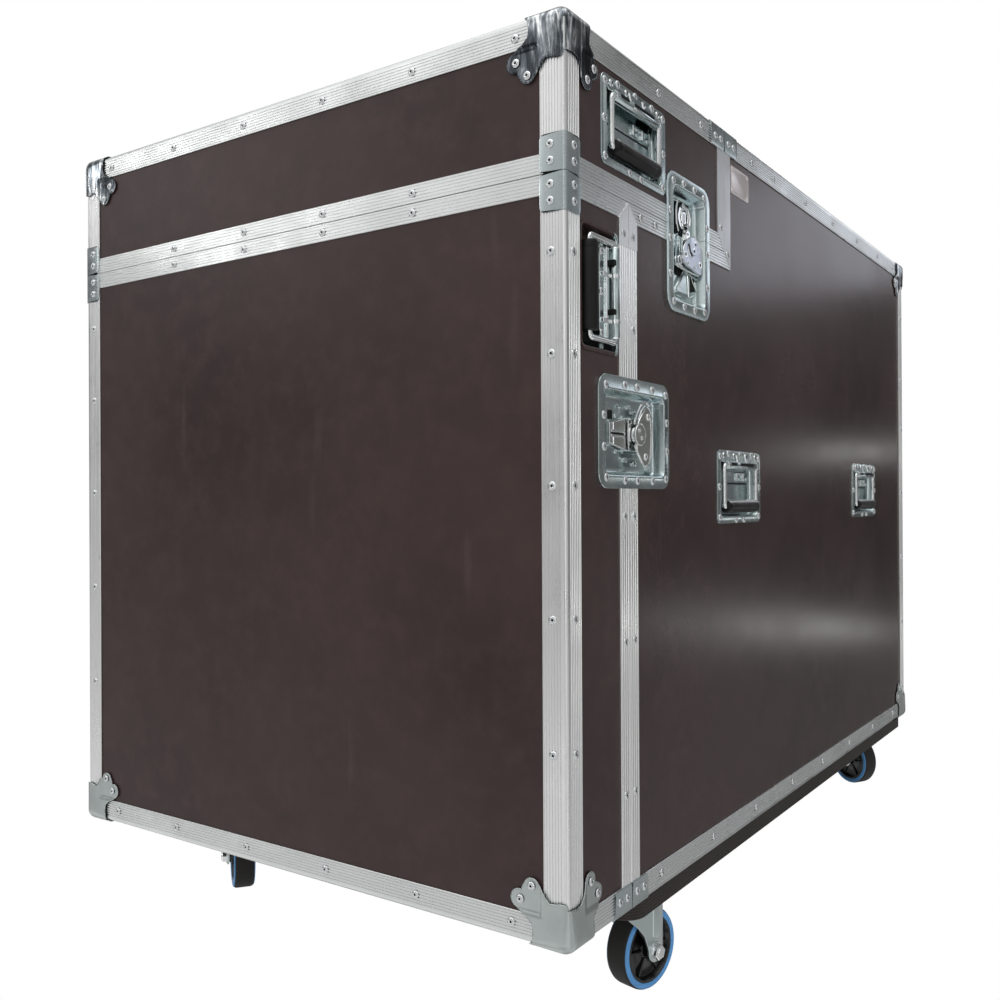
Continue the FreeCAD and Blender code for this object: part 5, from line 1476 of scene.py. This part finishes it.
def castor_wheel(axle):
    """Tread and side rings, and a moulded hub with six ribs on each face."""
    tread, ring, hub = range(3)
    shape = Shape()
    profile = [(44, -14.2), (48.4, -14.2), (49.6, -12.4), (50.0, -10.0)]
    shape.lathe(profile + [(r, -h) for r, h in reversed(profile)], 72, axle, tread, closed=True)
    profile = [(43, 13.6), (48.3, 14.0), (48.1, 14.9), (47.0, 15.8), (45.0, 16.2), (42.2, 16.1),
               (41.2, 15.3), (41.0, 12.0)]
    for k in (-1, 1):
        shape.lathe([(r, k * h) for r, h in profile], 72, axle, ring, closed=True)
    profile = [(6.1, -20.0), (10.5, -20.0), (11.2, -19.3), (11.6, -11.5), (14.0, -9.5),
               (30.0, -8.0), (35.0, -9.5), (37.0, -14.0), (38.0, -15.6), (40.6, -15.6),
               (41.2, -15.0)]
    shape.lathe(profile + [(r, -h) for r, h in reversed(profile)], 60, axle, hub, closed=True)
    rib = round_rect(12, 35.5, -1.6, 1.6, 1.2, 2)
    rings = [(rib, 8.0), (rib, 11.2), (grown(rib, -0.5), 11.7)]
    for i in range(6):
        place = turned(axle, 60 * i)
        shape.loft([(outline, -h) for outline, h in reversed(rings)], place, hub)
        shape.loft(rings, place, hub)
    return shape


for key in ("front_right", "front_left", "rear_right", "rear_left"):
    name = f"castor_{key}"
    swivel = np.array(JOINTS[name + "_swivel"]["pos_m"]) * 1000
    centre = np.array(JOINTS[name + "_spin"]["pos_m"]) * 1000
    trail = np.array([centre[0] - swivel[0], centre[1] - swivel[1], 0.0])
    reach = np.linalg.norm(trail)
    trail /= reach
    across = np.cross(trail, Z)
    axle = axes(trail, Z, across, centre)
    top = box_mm("castor_plates")[1][2]
    x, y = swivel[:2]
    build(name + "_top_plate", castor_top_plate(x, y, top), [FORK_ZINC], BODY,
          ("castor_plates",))
    build(name + "_fork_pressing", castor_fork(x, y, top - 6.0, trail, across, reach, axle),
          [FORK_ZINC, WIRE], name + "_fork", (name + "_fork",))
    build(name + "_wheel_tyre", castor_wheel(axle), [TREAD_RUBBER, BLUE_RUBBER, NYLON],
          name + "_wheel", (name + "_wheel",), angle=40)

# ---------------------------------------------------------------- floor, in metres from here
floor_mesh = bpy.data.meshes.new("floor")
floor_mesh.from_pydata([(-30, -30, 0), (30, -30, 0), (30, 30, 0), (-30, 30, 0)], [],
                       [(0, 1, 2, 3)])
floor = bpy.data.objects.new("floor", floor_mesh)
bpy.context.scene.collection.objects.link(floor)
white = Surface("floor_white")
white.set({"Base Color": (0.86, 0.86, 0.86), "Roughness": 0.75, "Specular IOR Level": 0.2})
floor_mesh.materials.append(white.material)
floor.visible_camera = False
floor.visible_glossy = False


# ---------------------------------------------------------------- lights
def area_light(name, location, target, width, height, power, colour=(1, 1, 1)):
    light = bpy.data.lights.new(name, "AREA")
    light.shape = "RECTANGLE"
    light.size, light.size_y = width, height
    light.energy = power
    light.color = colour
    lamp = bpy.data.objects.new(name, light)
    bpy.context.scene.collection.objects.link(lamp)
    lamp.location = location
    aim = Vector(target) - Vector(location)
    lamp.rotation_euler = aim.to_track_quat("-Z", "Y").to_euler()
    lamp.visible_camera = False


# name, location, target, width, height, power in watts, colour if not white
for row in (
        ("key_top", (0.6, -1.2, 4.2), (0, 0, 0.5), 4.0, 4.0, 55),
        ("front_left", (-3.2, -4.2, 2.6), (0, -0.4, 0.6), 2.5, 2.0, 8),
        ("lid_spot", (-2.9, -2.9, 2.05), (0.1, -0.7, 1.08), 0.35, 0.5, 4),
        ("edge_line", (2.2, -3.6, 1.0), (0.4, -0.6, 0.6), 0.12, 2.6, 5),
        ("right_strip_a", (1.183, 2.68, 0.807), (0.41, 0.45, 0.68), 0.55, 0.05, 0.25),
        ("right_strip_b", (1.383, 2.323, 0.105), (0.41, 0.1, 0.35), 0.85, 0.06, 0.55),
        ("right_high", (1.283, 2.41, 1.70), (0.41, 0.2, 0.95), 1.0, 0.5, 2.2,
         (0.86, 0.90, 1.0)),
        ("rim_back", (-1.5, 4.5, 2.8), (0, 0.4, 0.6), 3.0, 2.0, 60)):
    area_light(*row)


# ---------------------------------------------------------------- world
def studio_world():
    """White to the camera; a cloudy grey room, dim on its far side, to everything else."""
    world = bpy.data.worlds.new("studio")
    bpy.context.scene.world = world
    world.use_nodes = True
    graph = Graph(world.node_tree)
    output = graph.node("OutputWorld")
    direction = graph.node("TexCoord").outputs["Generated"]
    parts = graph.node("SeparateXYZ", {0: direction}).outputs
    bands = graph.ramp(graph.remap(parts[2], (-1, 1), (0, 1)),
                       (0.0, 1.0), (0.36, 0.85), (0.47, 0.52), (0.53, 0.38), (0.60, 0.66),
                       (0.8, 1.0), (1.0, 0.9))
    clouds = graph.ramp(graph.noise(scale=3.1, detail=1.5, roughness=0.5, source=direction),
                        (0.38, 0.22), (0.5, 0.85), (0.60, 1.35))
    far_side = graph.ramp(graph.remap(parts[1], (-1, 1), (0, 1)),
                          (0.0, 1.0), (0.55, 1.0), (0.85, 0.62), (0.96, 0.34), (1.0, 0.16))
    room = graph.mix(1.0, bands, clouds, "MULTIPLY")
    room = graph.mix(1.0, room, far_side, "MULTIPLY")
    seen = graph.node("Background", {"Color": (1, 1, 1), "Strength": 1.0})
    lighting = graph.node("Background", {"Color": room, "Strength": 0.95})
    camera_ray = graph.node("LightPath").outputs["Is Camera Ray"]
    mixed = graph.node("MixShader", {0: camera_ray, 1: lighting.outputs[0], 2: seen.outputs[0]})
    graph.feed(output.inputs[0], mixed.outputs[0])


studio_world()
scene = bpy.context.scene
scene.view_settings.view_transform = "Standard"
scene.view_settings.look = "None"

# ---------------------------------------------------------------- camera
CAMERA_LOCATION = (0.9370437, -1.57721186, 0.60622834)
azimuth = math.radians(34.759)          # turned left from looking along +y
elevation = math.radians(-0.1446)       # positive looks down
roll = math.radians(-0.2876)
level_right = Vector((math.cos(azimuth), math.sin(azimuth), 0))
forward = Vector((-math.sin(azimuth) * math.cos(elevation),
                  math.cos(azimuth) * math.cos(elevation), -math.sin(elevation)))
level_up = level_right.cross(forward)
right = math.cos(roll) * level_right + math.sin(roll) * level_up
up = -math.sin(roll) * level_right + math.cos(roll) * level_up
lens = bpy.data.cameras.new("camera")
camera = bpy.data.objects.new("camera", lens)
scene.collection.objects.link(camera)
pose = Matrix((right, up, -forward)).transposed().to_4x4()
pose.translation = Vector(CAMERA_LOCATION)
camera.matrix_world = pose
lens.sensor_width = 36.0
lens.lens = 36.39096
lens.clip_start = 0.05
lens.clip_end = 100
scene.camera = camera
